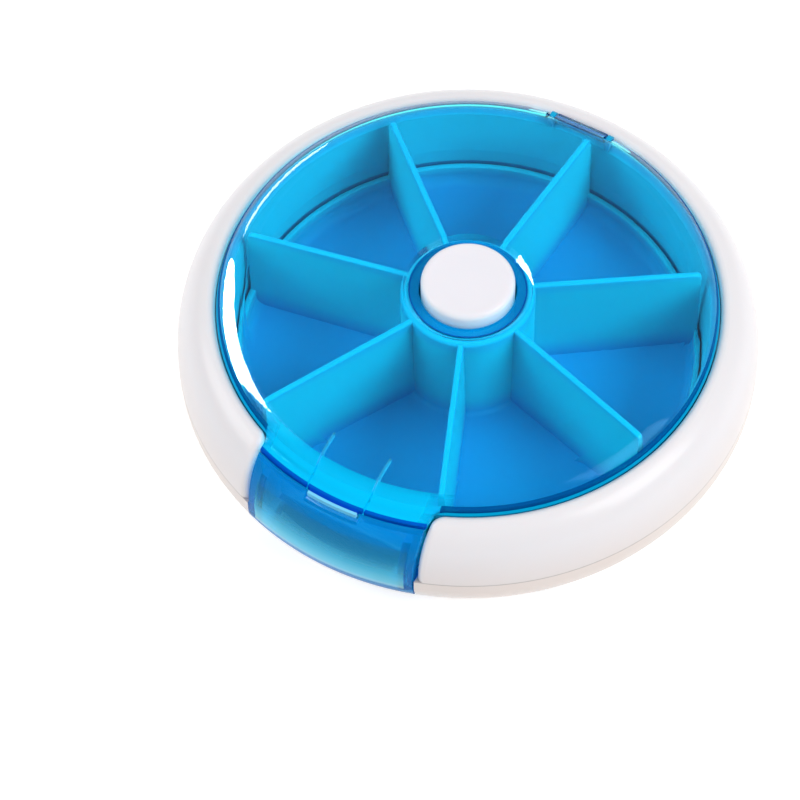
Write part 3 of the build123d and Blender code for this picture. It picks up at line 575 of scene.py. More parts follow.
@dataclass(frozen=True)
class MouldedWhite:
    """Glossy white moulded plastic, a little warmer low down, with painted blue light and shade
    in the well where one is given. Sizes in millimetres.
    """

    name: str
    top: Colour = (0.87, 0.85, 0.88)
    middle: Colour = (0.84, 0.775, 0.765)
    seam: Colour = (0.55, 0.49, 0.47)
    foot: Colour = (0.84, 0.75, 0.71)
    low: float = 0.0
    high: float = 16.0
    seam_height: float = 9.4
    seam_width: float = 0.16
    seam_fade: float = 1.6
    # Painted blue light and shade in the well: stands in for light through the blue tray and the
    # dark gap under it
    well: Colour | None = None
    well_radius: float = 40.0
    well_floor: float = 1.35
    well_blur: float = 0.02
    roughness: float = 0.28
    bending: float = 1.46
    coat: float = 0.15
    coat_roughness: float = 0.12
    glow: float = 0.15
    glow_reach: Colour = (1.0, 0.7, 0.6)
    glow_scale: float = 1.2
    skin: Skin = Skin(
        patch_scale=90, patch_dip=0.985, bump_scale=2500, bump_strength=0.05, bump_height=0.02
    )

    def inside(self, nodes: Nodes) -> Socket:
        """Where the surface lies in the well that the tray turns in, which gets the painted blue
        light and shade.

        Args:
            nodes: the material's nodes.

        Returns:
            A mask's socket: 1 in the well and 0 outside.
        """
        near = nodes.below(nodes.reach(), self.well_radius)
        none, full = self.well_floor - self.well_blur, self.well_floor + self.well_blur
        return nodes.sum_of(Sum.TIMES, near, nodes.share(nodes.along(Axis.UP), none, full))

    def stops(self) -> list[tuple[float, Colour]]:
        """The colours by height, with the parting line where it falls between them.

        Returns:
            Position and colour of each stop.
        """
        seam = (self.seam_height - self.low) / (self.high - self.low)
        half = self.seam_width / 2 / (self.high - self.low)
        if not half < seam < 1 - half:
            return [(0, self.foot), (1, self.top)]
        fade = self.seam_fade * half
        line = [(seam - half, self.seam), (seam + half, self.seam)]
        return [(0, self.foot), (seam - fade, self.foot), *line, (seam + fade, self.middle),
                (1, self.top)]

    def make(self) -> Paint:
        """Build the material.

        Returns:
            The finished material.
        """
        nodes = Nodes.of_paint(self.name)
        shader = nodes.add(
            "ShaderNodeBsdfPrincipled", Roughness=self.roughness, IOR=self.bending,
            Coat_Weight=self.coat, Coat_Roughness=self.coat_roughness,
            Subsurface_Weight=self.glow, Subsurface_Radius=self.glow_reach,
            Subsurface_Scale=self.glow_scale * MM,
        )
        tint = nodes.ramp(nodes.share(nodes.along(Axis.UP), self.low, self.high), self.stops())
        # Paint the well with blue light and shade, as if lit through the blue tray
        if self.well:
            tint = nodes.blend(self.inside(nodes), tint, self.well)
        nodes.join(nodes.mottle(tint, self.skin), shader.inputs["Base Color"])
        nodes.ripple(shader, self.skin)
        nodes.show(shader)
        return nodes.holder


@dataclass(frozen=True)
class MouldedBlue:
    """Deep blue moulded plastic, coloured by height with painted light and shade. Sizes in
    millimetres.
    """

    name: str
    # The colours by height are painted light and shade: the walls are lighter than the crests,
    # standing in for light passing through the translucent plastic deep in the tray, and the
    # floor is darker as painted shade
    low_colour: Colour = (0.0, 0.28, 0.59)
    mid_colour: Colour = (0.0, 0.44, 0.60)
    high_colour: Colour = (0.0, 0.37, 0.51)
    top_colour: Colour = (0.0, 0.31, 0.49)
    mid_from: float = 0.2
    high_from: float = 0.86
    top_from: float = 0.93
    low: float = 2.7
    high: float = 21.0
    roughness: float = 0.32
    bending: float = 1.45
    gloss: float = 0.2
    skin: Skin = Skin(
        patch_scale=60, patch_dip=0.96, bump_scale=1800, bump_strength=0.03, bump_height=0.03
    )

    def make(self) -> Paint:
        """Build the material.

        Returns:
            The finished material.
        """
        nodes = Nodes.of_paint(self.name)
        shader = nodes.add(
            "ShaderNodeBsdfPrincipled", Roughness=self.roughness, IOR=self.bending,
            Specular_IOR_Level=self.gloss,
        )
        # Painted light and shade by height
        tint = nodes.ramp(
            nodes.share(nodes.along(Axis.UP), self.low, self.high),
            [(0, self.low_colour), (self.mid_from, self.mid_colour),
             (self.high_from, self.high_colour), (self.top_from, self.top_colour)],
        )
        nodes.join(nodes.mottle(tint, self.skin), shader.inputs["Base Color"])
        nodes.ripple(shader, self.skin)
        nodes.show(shader)
        return nodes.holder


@dataclass(frozen=True)
class ClearBlue(ABC):
    """Polished blue see-through plastic, milky in places, with light and shade painted on some
    milky parts. Sizes in millimetres.
    """

    name: str
    tint: Colour = (0.93, 0.99, 1.0)
    soak: Colour = (0.10, 0.94, 0.99)
    soak_rate: float = 1000.0
    bending: float = 1.42
    roughness: float = 0.0
    gloss_tint: Colour = (0.2, 0.35, 0.5)
    milk_share: float = 0.5
    milk_roughness: float = 0.3
    skin: Skin = Skin(
        patch_scale=40, patch_dip=0.985, bump_scale=220, bump_strength=0.02, bump_height=0.02,
        bump_detail=1.0,
    )

    @abstractmethod
    def milk(self, nodes: Nodes) -> tuple[Socket, Socket]:
        """Where the plastic is milky, with the light and shade that is painted on it.

        Args:
            nodes: the material's nodes.

        Returns:
            The milky plastic's colour, and how much of it covers the clear plastic.
        """

    def make(self) -> Paint:
        """Build the material, whose surface lets light from the lamps down into the tray.

        Returns:
            The finished material.
        """
        nodes = Nodes.of_paint(self.name)
        clear = nodes.add(
            "ShaderNodeBsdfPrincipled", Roughness=self.roughness, IOR=self.bending,
            Transmission_Weight=1.0, Specular_Tint=(*self.gloss_tint, 1),
        )
        nodes.join(nodes.mottle(self.tint, self.skin), clear.inputs["Base Color"])
        nodes.ripple(clear, self.skin)
        soaking = nodes.add("ShaderNodeVolumeAbsorption", Density=self.soak_rate)
        nodes.feed(self.soak, soaking.inputs["Color"])
        nodes.join(soaking.outputs[0], nodes.out.inputs["Volume"])
        colour, cover = self.milk(nodes)
        milky = nodes.add("ShaderNodeBsdfDiffuse", Roughness=self.milk_roughness)
        nodes.join(colour, milky.inputs["Color"])
        path = nodes.add("ShaderNodeLightPath")
        surface = nodes.mix(cover, clear, milky)
        through = nodes.add("ShaderNodeBsdfTransparent")
        nodes.show(nodes.mix(path.outputs["Is Shadow Ray"], surface, through))
        return nodes.holder


@dataclass(frozen=True)
class LidPlastic(ClearBlue):
    """The lid's clear plastic, milky in its collar and its lip, with painted light on the edges
    of its two cuts and on its tab, and painted shade lines along its rim, its front edge and its
    collar's crease.
    """

    collar_radius: float = 9.05
    collar_colour: Colour = (0.0, 0.22, 0.52)
    # Painted shade: a dark line round the collar's crease
    crease_radius: float = 8.95
    crease_width: float = 0.1
    # Painted light: the cuts' edges are lighter, standing in for the thin light lines that the
    # clear cuts' edges show
    cut_x: float = 4.75
    cut_width: float = 0.17
    cut_end: float = -32.3
    cut_low: float = 20.0
    painted_cut_light: Colour = (0.05, 0.40, 0.64)
    lip_radius: float = 36.5
    lip_start: float = 12.5
    lip_end: float = 17.0
    lip_colour: Colour = (0.0, 0.42, 0.66)
    # Painted shade: a dark line along the rim, standing in for the dark refracted edge of the
    # clear plastic
    rim_radius: float = 37.85
    painted_rim_shade: Colour = (0.0, 0.05, 0.20)
    # Painted shade: a dark line on the lip's outer edge, standing in for the shadow gap over the
    # door; the same colour paints the collar's crease
    edge_radius: float = 40.5
    painted_shade_line: Colour = (0.0, 0.035, 0.33)
    edge_share: float = 0.85
    # Painted highlight: the tab's edge is lighter, standing in for the light line along it
    tab_radius: float = 41.45
    painted_tab_light: Colour = (0.14, 0.46, 0.64)

    def over_door(self, nodes: Nodes) -> Socket:
        """Where the lid's edge lies over the door, fading out beside it.

        Args:
            nodes: the material's nodes.

        Returns:
            A mask's socket: 1 over the door and 0 elsewhere.
        """
        across = nodes.sum_of(Sum.UNSIGNED, nodes.along(Axis.ACROSS))
        fade = nodes.share(across, self.lip_end, self.lip_start)
        return nodes.sum_of(Sum.TIMES, fade, nodes.below(nodes.along(Axis.DEEP), 0))

    def cut_edges(self, nodes: Nodes) -> Socket:
        """Where the surface lies at the edges of the two cuts, which get painted light lines.

        Args:
            nodes: the material's nodes.

        Returns:
            A mask's socket: 1 at the edges and 0 elsewhere.
        """
        across = nodes.sum_of(Sum.UNSIGNED, nodes.along(Axis.ACROSS))
        offset = nodes.sum_of(Sum.UNSIGNED, nodes.sum_of(Sum.MINUS, across, self.cut_x * MM))
        beside = nodes.below(offset, self.cut_width)
        front = nodes.below(nodes.along(Axis.DEEP), self.cut_end)
        above = nodes.beyond(nodes.along(Axis.UP), self.cut_low)
        return nodes.sum_of(Sum.TIMES, nodes.sum_of(Sum.TIMES, beside, front), above)

    def milk(self, nodes: Nodes) -> tuple[Socket, Socket]:
        """Milky plastic on the collar's floor, on the lip and on the edges of the cuts, with
        painted light on the cuts' edges and the tab, and painted shade lines along the rim, the
        front edge and the collar's crease.

        Args:
            nodes: the material's nodes.

        Returns:
            The milky plastic's colour, and how much of it covers the clear plastic.
        """
        reach = nodes.reach()
        over_door = self.over_door(nodes)
        cut = self.cut_edges(nodes)
        collar = nodes.below(reach, self.collar_radius)
        lip = nodes.sum_of(Sum.TIMES, nodes.beyond(reach, self.lip_radius), over_door)
        past_rim = nodes.beyond(reach, self.rim_radius)
        rim = nodes.sum_of(Sum.MORE, nodes.sum_of(Sum.MINUS, past_rim, over_door), MASK_LIMIT)
        edge = nodes.beyond(reach, self.edge_radius)
        tab = nodes.beyond(reach, self.tab_radius)
        from_crease = nodes.sum_of(Sum.MINUS, reach, self.crease_radius * MM)
        crease = nodes.below(nodes.sum_of(Sum.UNSIGNED, from_crease), self.crease_width)
        colour = nodes.blend(lip, self.collar_colour, self.lip_colour)
        # Painted light on the edges of the cuts
        colour = nodes.blend(cut, colour, self.painted_cut_light)
        # Painted shade: the dark line along the rim
        colour = nodes.blend(rim, colour, self.painted_rim_shade)
        # Painted shade: the dark line on the lip's outer edge
        colour = nodes.blend(edge, colour, self.painted_shade_line)
        # Painted highlight on the tab's edge
        colour = nodes.blend(tab, colour, self.painted_tab_light)
        # Painted shade: the dark line round the collar's crease
        colour = nodes.blend(crease, colour, self.painted_shade_line)
        thin = nodes.sum_of(Sum.LARGER, nodes.sum_of(Sum.LARGER, collar, cut), lip)
        thin = nodes.sum_of(Sum.TIMES, thin, self.milk_share)
        dense = nodes.sum_of(Sum.TIMES, nodes.sum_of(Sum.LARGER, edge, rim), self.edge_share)
        return colour, nodes.sum_of(Sum.LARGER, thin, dense)


@dataclass(frozen=True)
class DoorPlastic(ClearBlue):
    """The door's clear plastic, banded by height with painted light and shade, and deeper where
    its cheeks stand behind it.
    """

    soak: Colour = (0.0, 0.80, 0.95)
    milk_share: float = 0.45
    milk_dip: float = 0.96
    end_reach: float = 12.8
    end_colour: Colour = (0.0, 0.22, 0.54)
    band_top: float = 20.0
    # Painted light and shade by height: deep blue low down, a painted highlight line at 7.2 mm
    # fading up through light cyan into painted shade, a dark painted crease line at 15.3 to 15.6
    # mm, and blue above
    painted_light_and_shade_bands: tuple[tuple[float, Colour], ...] = (
        (0.0, (0.0, 0.16, 0.46)),
        (6.6, (0.0, 0.20, 0.50)),
        (7.2, (0.60, 0.98, 1.0)),
        (7.8, (0.30, 0.88, 0.96)),
        (10.0, (0.10, 0.64, 0.76)),
        (13.2, (0.01, 0.28, 0.44)),
        (15.3, (0.01, 0.22, 0.42)),
        (15.6, (0.0, 0.24, 0.58)),
        (20.0, (0.0, 0.24, 0.60)),
    )

    def milk(self, nodes: Nodes) -> tuple[Socket, Socket]:
        """Milky plastic, coloured by height with painted light and shade, and by place along the
        door.

        Args:
            nodes: the material's nodes.

        Returns:
            The milky plastic's colour, and how much of it covers the clear plastic.
        """
        # Painted light and shade by height
        stops = [(height / self.band_top, colour) for height, colour in self.painted_light_and_shade_bands]
        colour = nodes.ramp(nodes.share(nodes.along(Axis.UP), 0, self.band_top), stops)
        across = nodes.sum_of(Sum.UNSIGNED, nodes.along(Axis.ACROSS))
        end = nodes.beyond(across, self.end_reach)
        cover = nodes.ramp(nodes.grain(self.skin.patch_scale), [
            (GRAIN_LOW, (self.milk_share,) * 3),
            (GRAIN_HIGH, (self.milk_share * self.milk_dip,) * 3),
        ])
        return nodes.blend(end, colour, self.end_colour), cover


@dataclass(frozen=True)
class PlainSteel:
    """Drawn or turned steel with fine scratches."""

    name: str
    colour: Colour = (0.62, 0.63, 0.65)
    roughness: float = 0.3
    skin: Skin = Skin(
        patch_scale=1500, patch_dip=0.8, bump_scale=1500, bump_strength=0.1, bump_height=0.01,
        bump_detail=3.0,
    )

    def make(self) -> Paint:
        """Build the material.

        Returns:
            The finished material.
        """
        nodes = Nodes.of_paint(self.name)
        shader = nodes.add("ShaderNodeBsdfPrincipled", Roughness=self.roughness, Metallic=1.0)
        nodes.join(nodes.mottle(self.colour, self.skin), shader.inputs["Base Color"])
        nodes.ripple(shader, self.skin)
        nodes.show(shader)
        return nodes.holder


class Finish(Enum):
    """The finishes of the organizer's pieces."""

    WHITE = MouldedWhite("white_plastic")
    # The base's well is painted with blue light and shade
    BASE_WHITE = MouldedWhite("white_base_plastic", well=(0.0, 0.22, 0.45))
    # The tray's colours by height are painted light and shade
    TRAY_BLUE = MouldedBlue("blue_tray_plastic")
    # The liner's darker top is painted shade, holding down its top face where light from above
    # falls on it
    LINER_BLUE = MouldedBlue("blue_liner_plastic", top_colour=(0.0, 0.24, 0.42), high=19.3)
    PIN_BLUE = MouldedBlue("blue_pin_plastic", DEEP_BLUE, DEEP_BLUE, DEEP_BLUE, DEEP_BLUE)
    CLEAR_LID = LidPlastic("clear_blue_plastic")
    # The white cap's light blue foot is painted blue light, where the cap stands among the blue
    # plastic
    BUTTON_WHITE = MouldedWhite("white_button_plastic", top=(0.92, 0.90, 0.97),
                                foot=(0.50, 0.80, 0.97), low=20.5, high=23.4)
    CLEAR_DOOR = DoorPlastic("clear_blue_door_plastic")
    STEEL = PlainSteel("plain_steel")
    ACETAL = MouldedWhite("plain_acetal")


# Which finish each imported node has; all the others are steel
NODE_FINISH: dict[str, Finish] = {
    "upper_shell": Finish.WHITE,
    "base_shell": Finish.BASE_WHITE,
    "button_cap": Finish.WHITE,
    "inner_liner": Finish.LINER_BLUE,
    "pill_tray": Finish.TRAY_BLUE,
    "button_plunger": Finish.TRAY_BLUE,
    "ratchet_ring": Finish.PIN_BLUE,
    "lid_hinge_pin": Finish.PIN_BLUE,
    "door_pins": Finish.PIN_BLUE,
    "lid": Finish.CLEAR_LID,
    "door": Finish.CLEAR_DOOR,
    "drive_fingers": Finish.ACETAL,
    "thrust_washer": Finish.ACETAL,
}

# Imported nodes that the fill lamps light, as they do the tray's moulding
FILLED_NODES = ("inner_liner", "button_plunger", "lid", "door")


# The organizer's finer pieces


@dataclass
class PillTray:
    """The turning tray: floor, lip, hub and seven dividers. Sizes in millimetres."""

    radius: float = 36.1
    wall: float = 1.0
    floor_low: float = 1.7
    floor_top: float = 2.7
    scoop: float = 1.8
    lip_top: float = 6.0
    lip_round: float = 0.3
    lip_bulge: Point = (0.1, 0.08)
    hub: float = 10.3
    hub_top: float = 21.2
    hub_round: float = 0.65
    hub_foot_round: float = 0.9
    hub_bore: float = 9.2
    bore_round: float = 0.3
    bearing: float = 5.36
    bearing_low: float = 1.95
    bearing_top: float = 5.8
    bore: float = 3.86
    web_low: float = 3.4
    web_top: float = 4.4
    count: int = 7
    front_angle: float = -90.0
    stop_angle: float = -3.2
    divider_reach: float = 35.9
    divider_root: float = 0.6
    divider_low: float = 2.2
    divider_foot: float = 1.7
    divider_crest: float = 0.93
    inner_top: float = 21.0
    outer_top: float = 19.8
    corner_round: float = 0.7
    crest_round: float = 0.27
    scoop_steps: int = 8
    hub_steps: int = 6
    edge_steps: int = 4
    crest_zone: float = 20.5
    edge_zone: float = 16.0
    corner_zone: float = 10.0
    foot_zone: float = 2.1
    outer_zone: float = 30.0
    inner_zone: float = 12.0
    side_tolerance: float = 0.01

    def section(self) -> list[Point]:
        """The turned part's section.

        Returns:
            Its corners, in order round it.
        """
        inner = self.radius - self.wall
        in_bulge, down_bulge = self.lip_bulge
        points = [(self.hub_bore, self.floor_low), (inner, self.floor_low)]
        points += [(self.radius, self.floor_low + self.wall)]
        points += [(self.radius, self.lip_top - self.lip_round)]
        points += [(self.radius - in_bulge, self.lip_top - down_bulge)]
        points += [(self.radius - self.lip_round, self.lip_top)]
        points += [(inner + self.lip_round, self.lip_top)]
        points += [(inner + down_bulge, self.lip_top - in_bulge)]
        points += [(inner, self.lip_top - self.lip_round)]
        middle = (inner - self.scoop, self.floor_top + self.scoop)
        points += quarter(middle, self.scoop, 270, self.scoop_steps)[::-1]
        middle = (self.hub + self.hub_foot_round, self.floor_top + self.hub_foot_round)
        points += quarter(middle, self.hub_foot_round, 180, self.hub_steps)[::-1]
        middle = (self.hub - self.hub_round, self.hub_top - self.hub_round)
        points += quarter(middle, self.hub_round, 0, self.hub_steps)
        middle = (self.hub_bore + self.bore_round, self.hub_top - self.bore_round)
        points += quarter(middle, self.bore_round, 90, self.edge_steps)
        points += [(self.hub_bore, self.web_top), (self.bearing, self.web_top)]
        points += [(self.bearing, self.bearing_top), (self.bore, self.bearing_top)]
        points += [(self.bore, self.bearing_low), (self.bearing, self.bearing_low)]
        points += [(self.bearing, self.web_low), (self.hub_bore, self.web_low)]
        return points

    def divider(self, index: int) -> Piece:
        """One divider: a tapered wall with a rounded, sloping crest.

        Args:
            index: its place round the hub.

        Returns:
            The divider.
        """
        put_down_all()
        start = self.hub - self.divider_root
        length = self.divider_reach - start
        tall = self.inner_top - self.divider_low
        bpy.ops.mesh.primitive_cube_add(size=1, location=(0, 0, 0))
        piece = fresh(f"tray_divider_{index}")
        piece.scale = (length * MM, self.divider_foot * MM, tall * MM)
        middle = (self.inner_top + self.divider_low) / 2
        piece.location = ((start + length / 2) * MM, 0, middle * MM)
        settle(piece)
        crest, outer = self.crest_zone * MM, self.outer_zone * MM
        self.pick_faces(piece, lambda centre: centre.z > crest)
        narrow = self.divider_crest / self.divider_foot
        bpy.ops.transform.resize(value=(1, narrow, 1), center_override=(0, 0, 0))
        self.pick_points(piece, lambda spot: spot.z > crest and spot.x > outer)
        bpy.ops.transform.translate(value=(0, 0, (self.outer_top - self.inner_top) * MM))
        bpy.ops.object.mode_set(mode="OBJECT")
        self.round_crest(piece)
        pick_up(piece)
        first_angle = self.front_angle - 180 / self.count + self.stop_angle
        piece.rotation_euler = (0, 0, math.radians(first_angle + index * 360 / self.count))
        return settle(piece)

    @staticmethod
    def pick_faces(piece: Piece, wanted: Callable[[Vector], bool]) -> None:
        """Select only the faces whose middle passes a test, and stay in edit mode.

        Args:
            piece: the object to work on.
            wanted: the test.
        """
        bpy.ops.object.mode_set(mode="EDIT")
        bpy.ops.mesh.select_mode(type="FACE")
        bpy.ops.mesh.select_all(action="DESELECT")
        bpy.ops.object.mode_set(mode="OBJECT")
        for face in piece.data.polygons:
            face.select = wanted(face.center)
        bpy.ops.object.mode_set(mode="EDIT")

    @staticmethod
    def pick_points(piece: Piece, wanted: Callable[[Vector], bool]) -> None:
        """Select only the points that pass a test, and stay in edit mode.

        Args:
            piece: the object to work on.
            wanted: the test.
        """
        bpy.ops.mesh.select_mode(type="VERT")
        bpy.ops.mesh.select_all(action="DESELECT")
        bpy.ops.object.mode_set(mode="OBJECT")
        for point in piece.data.vertices:
            point.select = wanted(point.co)
        bpy.ops.object.mode_set(mode="EDIT")

    def round_crest(self, piece: Piece) -> None:
        """Round the divider's outer top corner, then its long edges.

        Args:
            piece: the divider.
        """
        self.bevel_edges(piece, self.corner_round, self.at_corner)
        self.bevel_edges(piece, self.crest_round, self.along_crest)

    def at_corner(self, a: Vector, b: Vector) -> bool:
        """Whether an edge between two points lies at the outer top corner."""
        return min(a.x, b.x) > self.outer_zone * MM and min(a.z, b.z) > self.corner_zone * MM

    def along_crest(self, a: Vector, b: Vector) -> bool:
        """Whether an edge between two points runs along one side of the crest.

        Args:
            a: one end of the edge.
            b: the other end.

        Returns:
            True for an edge of the crest or of the outer end.
        """
        one_side = a.y * b.y > 0 and abs(a.y - b.y) < self.side_tolerance * MM
        off_hub = max(a.x, b.x) > self.inner_zone * MM
        off_floor = min(a.z, b.z) > self.foot_zone * MM
        return one_side and off_hub and off_floor and max(a.z, b.z) > self.edge_zone * MM

    def bevel_edges(self, piece: Piece, width: float,
                    wanted: Callable[[Vector, Vector], bool]) -> None:
        """Bevel the edges whose two ends pass a test.

        Args:
            piece: the object to work on.
            width: width of the bevel in millimetres.
            wanted: the test.
        """
        pick_up(piece)
        bpy.ops.object.mode_set(mode="EDIT")
        bpy.ops.mesh.select_mode(type="EDGE")
        bpy.ops.mesh.select_all(action="DESELECT")
        bpy.ops.object.mode_set(mode="OBJECT")
        spots = piece.data.vertices
        for edge in piece.data.edges:
            a, b = (spots[index].co for index in edge.vertices)
            edge.select = wanted(a, b)
        bpy.ops.object.mode_set(mode="EDIT")
        bpy.ops.mesh.bevel(offset=width * MM, segments=self.edge_steps, affect="EDGES")
        bpy.ops.object.mode_set(mode="OBJECT")

    def build(self, paint: Paint) -> Piece:
        """Build the whole tray.

        Args:
            paint: its material.

        Returns:
            The tray's piece.
        """
        piece = turned("tray_moulding", self.section())
        for index in range(self.count):
            join_on(piece, self.divider(index))
        smooth(piece)
        dress(piece, paint)
        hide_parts("pill_tray")
        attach(piece, Body.TRAY.value)
        return piece


@dataclass
class PressButton:
    """The white cap that the finger presses. Sizes in millimetres."""

    radius: float = 7.2
    bore: float = 6.2
    low: float = 11.9
    low_round: float = 0.15
    top: float = 24.4
    inside: float = 23.1
    edge: float = 0.95
    edge_steps: int = 8
    dish: tuple[Point, ...] = ((0.35, 0.02), (0.6, 0.07), (1.4, 0.1), (3.2, 0.14))
    dish_depth: float = 0.16

    def section(self) -> list[Point]:
        """The cap's section, from the middle of its inside to the middle of its top.

        Returns:
            Its corners, in order.
        """
        rim = self.radius - self.edge
        points = [(0, self.inside), (self.bore, self.inside), (self.bore, self.low)]
        points += [(self.radius - self.low_round, self.low)]
        points += [(self.radius, self.low + self.low_round)]
        points += quarter((rim, self.top - self.edge), self.edge, 0, self.edge_steps)
        points += [(rim - inward, self.top - drop) for inward, drop in self.dish]
        return points + [(0, self.top - self.dish_depth)]

    def build(self, paint: Paint) -> Piece:
        """Turn the cap with its soft edge and its slightly dished top.

        Args:
            paint: its material.

        Returns:
            The cap's piece.
        """
        piece = turned_cup("button_moulding", self.section())
        smooth(piece)
        dress(piece, paint)
        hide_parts("button_cap")
        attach(piece, Body.BUTTON.value)
        return piece


# The room


@dataclass(frozen=True)
class SoftLamp:
    """A soft square lamp: its place in degrees round the object and its power in watts."""

    name: str
    azimuth: float
    elevation: float
    power: float
    blue_only: bool = False


@dataclass(frozen=True)
class SoftBox:
    """A panel that only shows mirrored: its place in degrees and its size in metres."""

    name: str
    azimuth: float
    elevation: float
    size: Point
    strength: float
    cloud_scale: float = 3.0
    dim_white: float = 0.98


@dataclass
class Studio:
    """Camera, lamps, floor and backdrop. The camera's sizes are in millimetres."""

    elevation: float = 56.47
    azimuth: float = 300.5
    front_azimuth: float = 270.0
    roll: float = -1.358
    focal_pixels: float = 3303.0
    frame_pixels: float = 800.0
    distance: float = 525.84
    offset: Point = (10.697, 1.202)
    aim_drop: float = 6.5
    lamp_distance: float = 0.9
    lamp_width: float = 0.5
    lamp_aim: float = 0.01
    box_aim: float = 0.02
    room_level: float = 0.62
    floor_glow: float = 0.5
    floor_width: float = 6.0
    floor_drop: float = 0.0001
    floor_dark: float = 0.90
    floor_light: float = 0.92
    floor_cloud: float = 3.0
    floor_roughness: float = 0.5
    lamps: tuple[SoftLamp, ...] = (
        SoftLamp("right_lamp", 5, 40, 3.0),
        SoftLamp("left_lamp", 200, 38, 1.8),
        SoftLamp("right_fill", 5, 40, 6.0, blue_only=True),
        SoftLamp("left_fill", 215, 38, 4.6, blue_only=True),
    )
    boxes: tuple[SoftBox, ...] = (
        SoftBox("left_softbox", 184, 27, (0.62, 0.6), 200),
        SoftBox("rear_softbox", 146, 22, (0.3, 0.16), 26),
    )

    def camera(self) -> None:
        """Place the camera where the photograph was taken from."""
        rise = math.radians(self.elevation)
        turn = Matrix.Rotation(math.radians(self.azimuth - self.front_azimuth), 3, "Z")
        back = turn @ Vector((0, -math.cos(rise), math.sin(rise)))
        right = turn @ Vector((1, 0, 0))
        up = back.cross(right)
        roll = math.radians(self.roll)
        across = right * math.cos(roll) + up * math.sin(roll)
        above = up * math.cos(roll) - right * math.sin(roll)
        place = back * self.distance - across * self.offset[0] - above * self.offset[1]
        place.z -= self.aim_drop
        lens = bpy.data.cameras.new("camera")
        lens.lens = self.focal_pixels / self.frame_pixels * lens.sensor_width
        lens.clip_start = 0.01
        lens.clip_end = 20
        holder = bpy.data.objects.new("camera", lens)
        bpy.context.scene.collection.objects.link(holder)
        grid = Matrix((across, above, back)).transposed().to_4x4()
        holder.matrix_world = Matrix.Translation(place * MM) @ grid
        bpy.context.scene.camera = holder

    def around(self, azimuth: float, elevation: float) -> Vector:
        """A place round the object, at the lamps' distance.

        Args:
            azimuth: degrees anticlockwise from +X.
            elevation: degrees above the floor.

        Returns:
            The place in metres.
        """
        turn, rise = math.radians(azimuth), math.radians(elevation)
        flat = math.cos(rise) * self.lamp_distance
        height = math.sin(rise) * self.lamp_distance
        return Vector((flat * math.cos(turn), flat * math.sin(turn), height))

    def hang_lamp(self, lamp: SoftLamp, blue_pieces: Sequence[Piece]) -> None:
        """Hang one soft square lamp.

        Args:
            lamp: what it is like and where it hangs.
            blue_pieces: the only pieces that a fill lamp lights.
        """
        light = bpy.data.lights.new(lamp.name, "AREA")
        light.shape = "RECTANGLE"
        light.size = light.size_y = self.lamp_width
        light.energy = lamp.power
        holder = bpy.data.objects.new(lamp.name, light)
        bpy.context.scene.collection.objects.link(holder)
        place = self.around(lamp.azimuth, lamp.elevation)
        way = Vector((0, 0, self.lamp_aim)) - place
        holder.location = place
        holder.rotation_euler = way.to_track_quat("-Z", "Y").to_euler()
        holder.visible_camera = False
        if lamp.blue_only:
            holder.visible_glossy = False
            lit = bpy.data.collections.new(f"{lamp.name}_lights")
            for piece in blue_pieces:
                lit.objects.link(piece)
            holder.light_linking.receiver_collection = lit

    def hang_box(self, box: SoftBox) -> None:
        """Hang a bright panel that shows only as a mirrored shape in polished plastic.

        Args:
            box: what it is like and where it hangs.
        """
        put_down_all()
        place = self.around(box.azimuth, box.elevation)
        bpy.ops.mesh.primitive_plane_add(size=1, location=place)
        panel = fresh(box.name)
        way = Vector((0, 0, self.box_aim)) - place
        panel.rotation_euler = way.to_track_quat("Z", "Y").to_euler()
        panel.scale = (*box.size, 1)
        settle(panel)
        dress(panel, self.mirrored_glow(box))
        panel.visible_camera = False
        panel.visible_diffuse = False
        panel.visible_transmission = False
        panel.visible_shadow = False

    @staticmethod
    def mirrored_glow(box: SoftBox) -> Paint:
        """A glow that shows in the first mirror that a view meets, and nowhere else.

        Args:
            box: the panel that has it.

        Returns:
            The finished material.
        """
        nodes = Nodes.of_paint(f"{box.name}_glow")
        path = nodes.add("ShaderNodeLightPath").outputs
        first = nodes.sum_of(Sum.LESS, path["Ray Depth"], FIRST_MIRROR)
        mirrored = nodes.sum_of(Sum.TIMES, path["Is Singular Ray"], path["Is Glossy Ray"])
        glow = nodes.add("ShaderNodeEmission", Strength=box.strength)
        stops = [(0, (box.dim_white,) * 3), (1, PURE_WHITE)]
        nodes.join(nodes.ramp(nodes.grain(box.cloud_scale), stops), glow.inputs["Color"])
        clear = nodes.add("ShaderNodeBsdfTransparent")
        nodes.show(nodes.mix(nodes.sum_of(Sum.TIMES, first, mirrored), clear, glow))
        nodes.holder.cycles.emission_sampling = "NONE"
        return nodes.holder

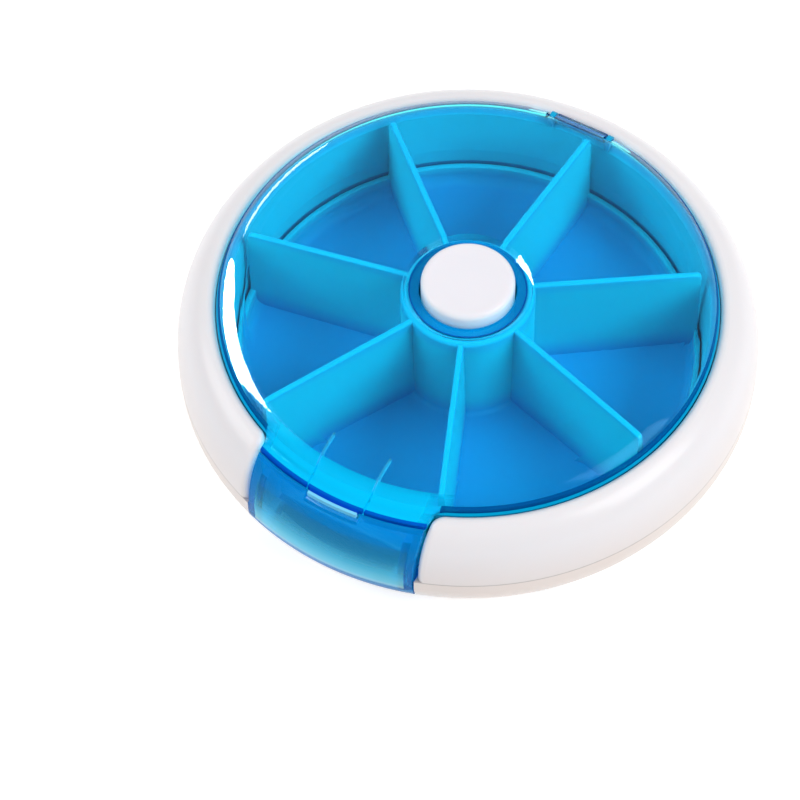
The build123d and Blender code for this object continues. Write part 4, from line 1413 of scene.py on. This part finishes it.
    def world(self) -> None:
        """A plain white room that lights dull surfaces less brightly than it shows."""
        room = bpy.data.worlds.new("room")
        bpy.context.scene.world = room
        nodes = Nodes(room, "ShaderNodeOutputWorld")
        white = (*PURE_WHITE, 1)
        lit = nodes.add("ShaderNodeBackground", Color=white, Strength=self.room_level)
        seen = nodes.add("ShaderNodeBackground", Color=white, Strength=1.0)
        nodes.show(nodes.mix(nodes.in_view(), lit, seen))

    def floor(self) -> None:
        """A white floor that keeps a soft shadow and glows a little where it is seen."""
        put_down_all()
        bpy.ops.mesh.primitive_plane_add(size=self.floor_width, location=(0, 0, -self.floor_drop))
        ground = fresh("ground")
        settle(ground)
        nodes = Nodes.of_paint("floor_white")
        dull = nodes.add("ShaderNodeBsdfDiffuse", Roughness=self.floor_roughness)
        stops = [(0, (self.floor_dark,) * 3), (1, (self.floor_light,) * 3)]
        nodes.join(nodes.ramp(nodes.grain(self.floor_cloud), stops), dull.inputs["Color"])
        light = nodes.add("ShaderNodeEmission")
        glow = nodes.sum_of(Sum.TIMES, nodes.in_view(), self.floor_glow)
        nodes.join(glow, light.inputs["Strength"])
        total = nodes.add("ShaderNodeAddShader")
        nodes.join(dull.outputs[0], total.inputs[0])
        nodes.join(light.outputs[0], total.inputs[1])
        nodes.show(total)
        dress(ground, nodes.holder)

    def build(self, blue_pieces: Sequence[Piece]) -> None:
        """Set up the whole room.

        Args:
            blue_pieces: the pieces that lie deep in the case or cover it.
        """
        self.camera()
        self.world()
        self.floor()
        for lamp in self.lamps:
            self.hang_lamp(lamp, blue_pieces)
        for box in self.boxes:
            self.hang_box(box)
        bpy.context.scene.view_settings.view_transform = "Standard"


def main() -> None:
    """Build every piece in order, dress the model and report it."""
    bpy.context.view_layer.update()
    paints = {finish: finish.value.make() for finish in Finish}
    for name, node in frame["nodes"].items():
        dress(node, paints[NODE_FINISH.get(name, Finish.STEEL)])
    tray = PillTray().build(paints[Finish.TRAY_BLUE])
    button = PressButton().build(paints[Finish.BUTTON_WHITE])
    for piece in (tray, button):
        log.info("built %s with %d faces", piece.name, len(piece.data.polygons))
    Studio().build([*(frame["nodes"][name] for name in FILLED_NODES), tray])


if __name__ == "__main__":
    main()
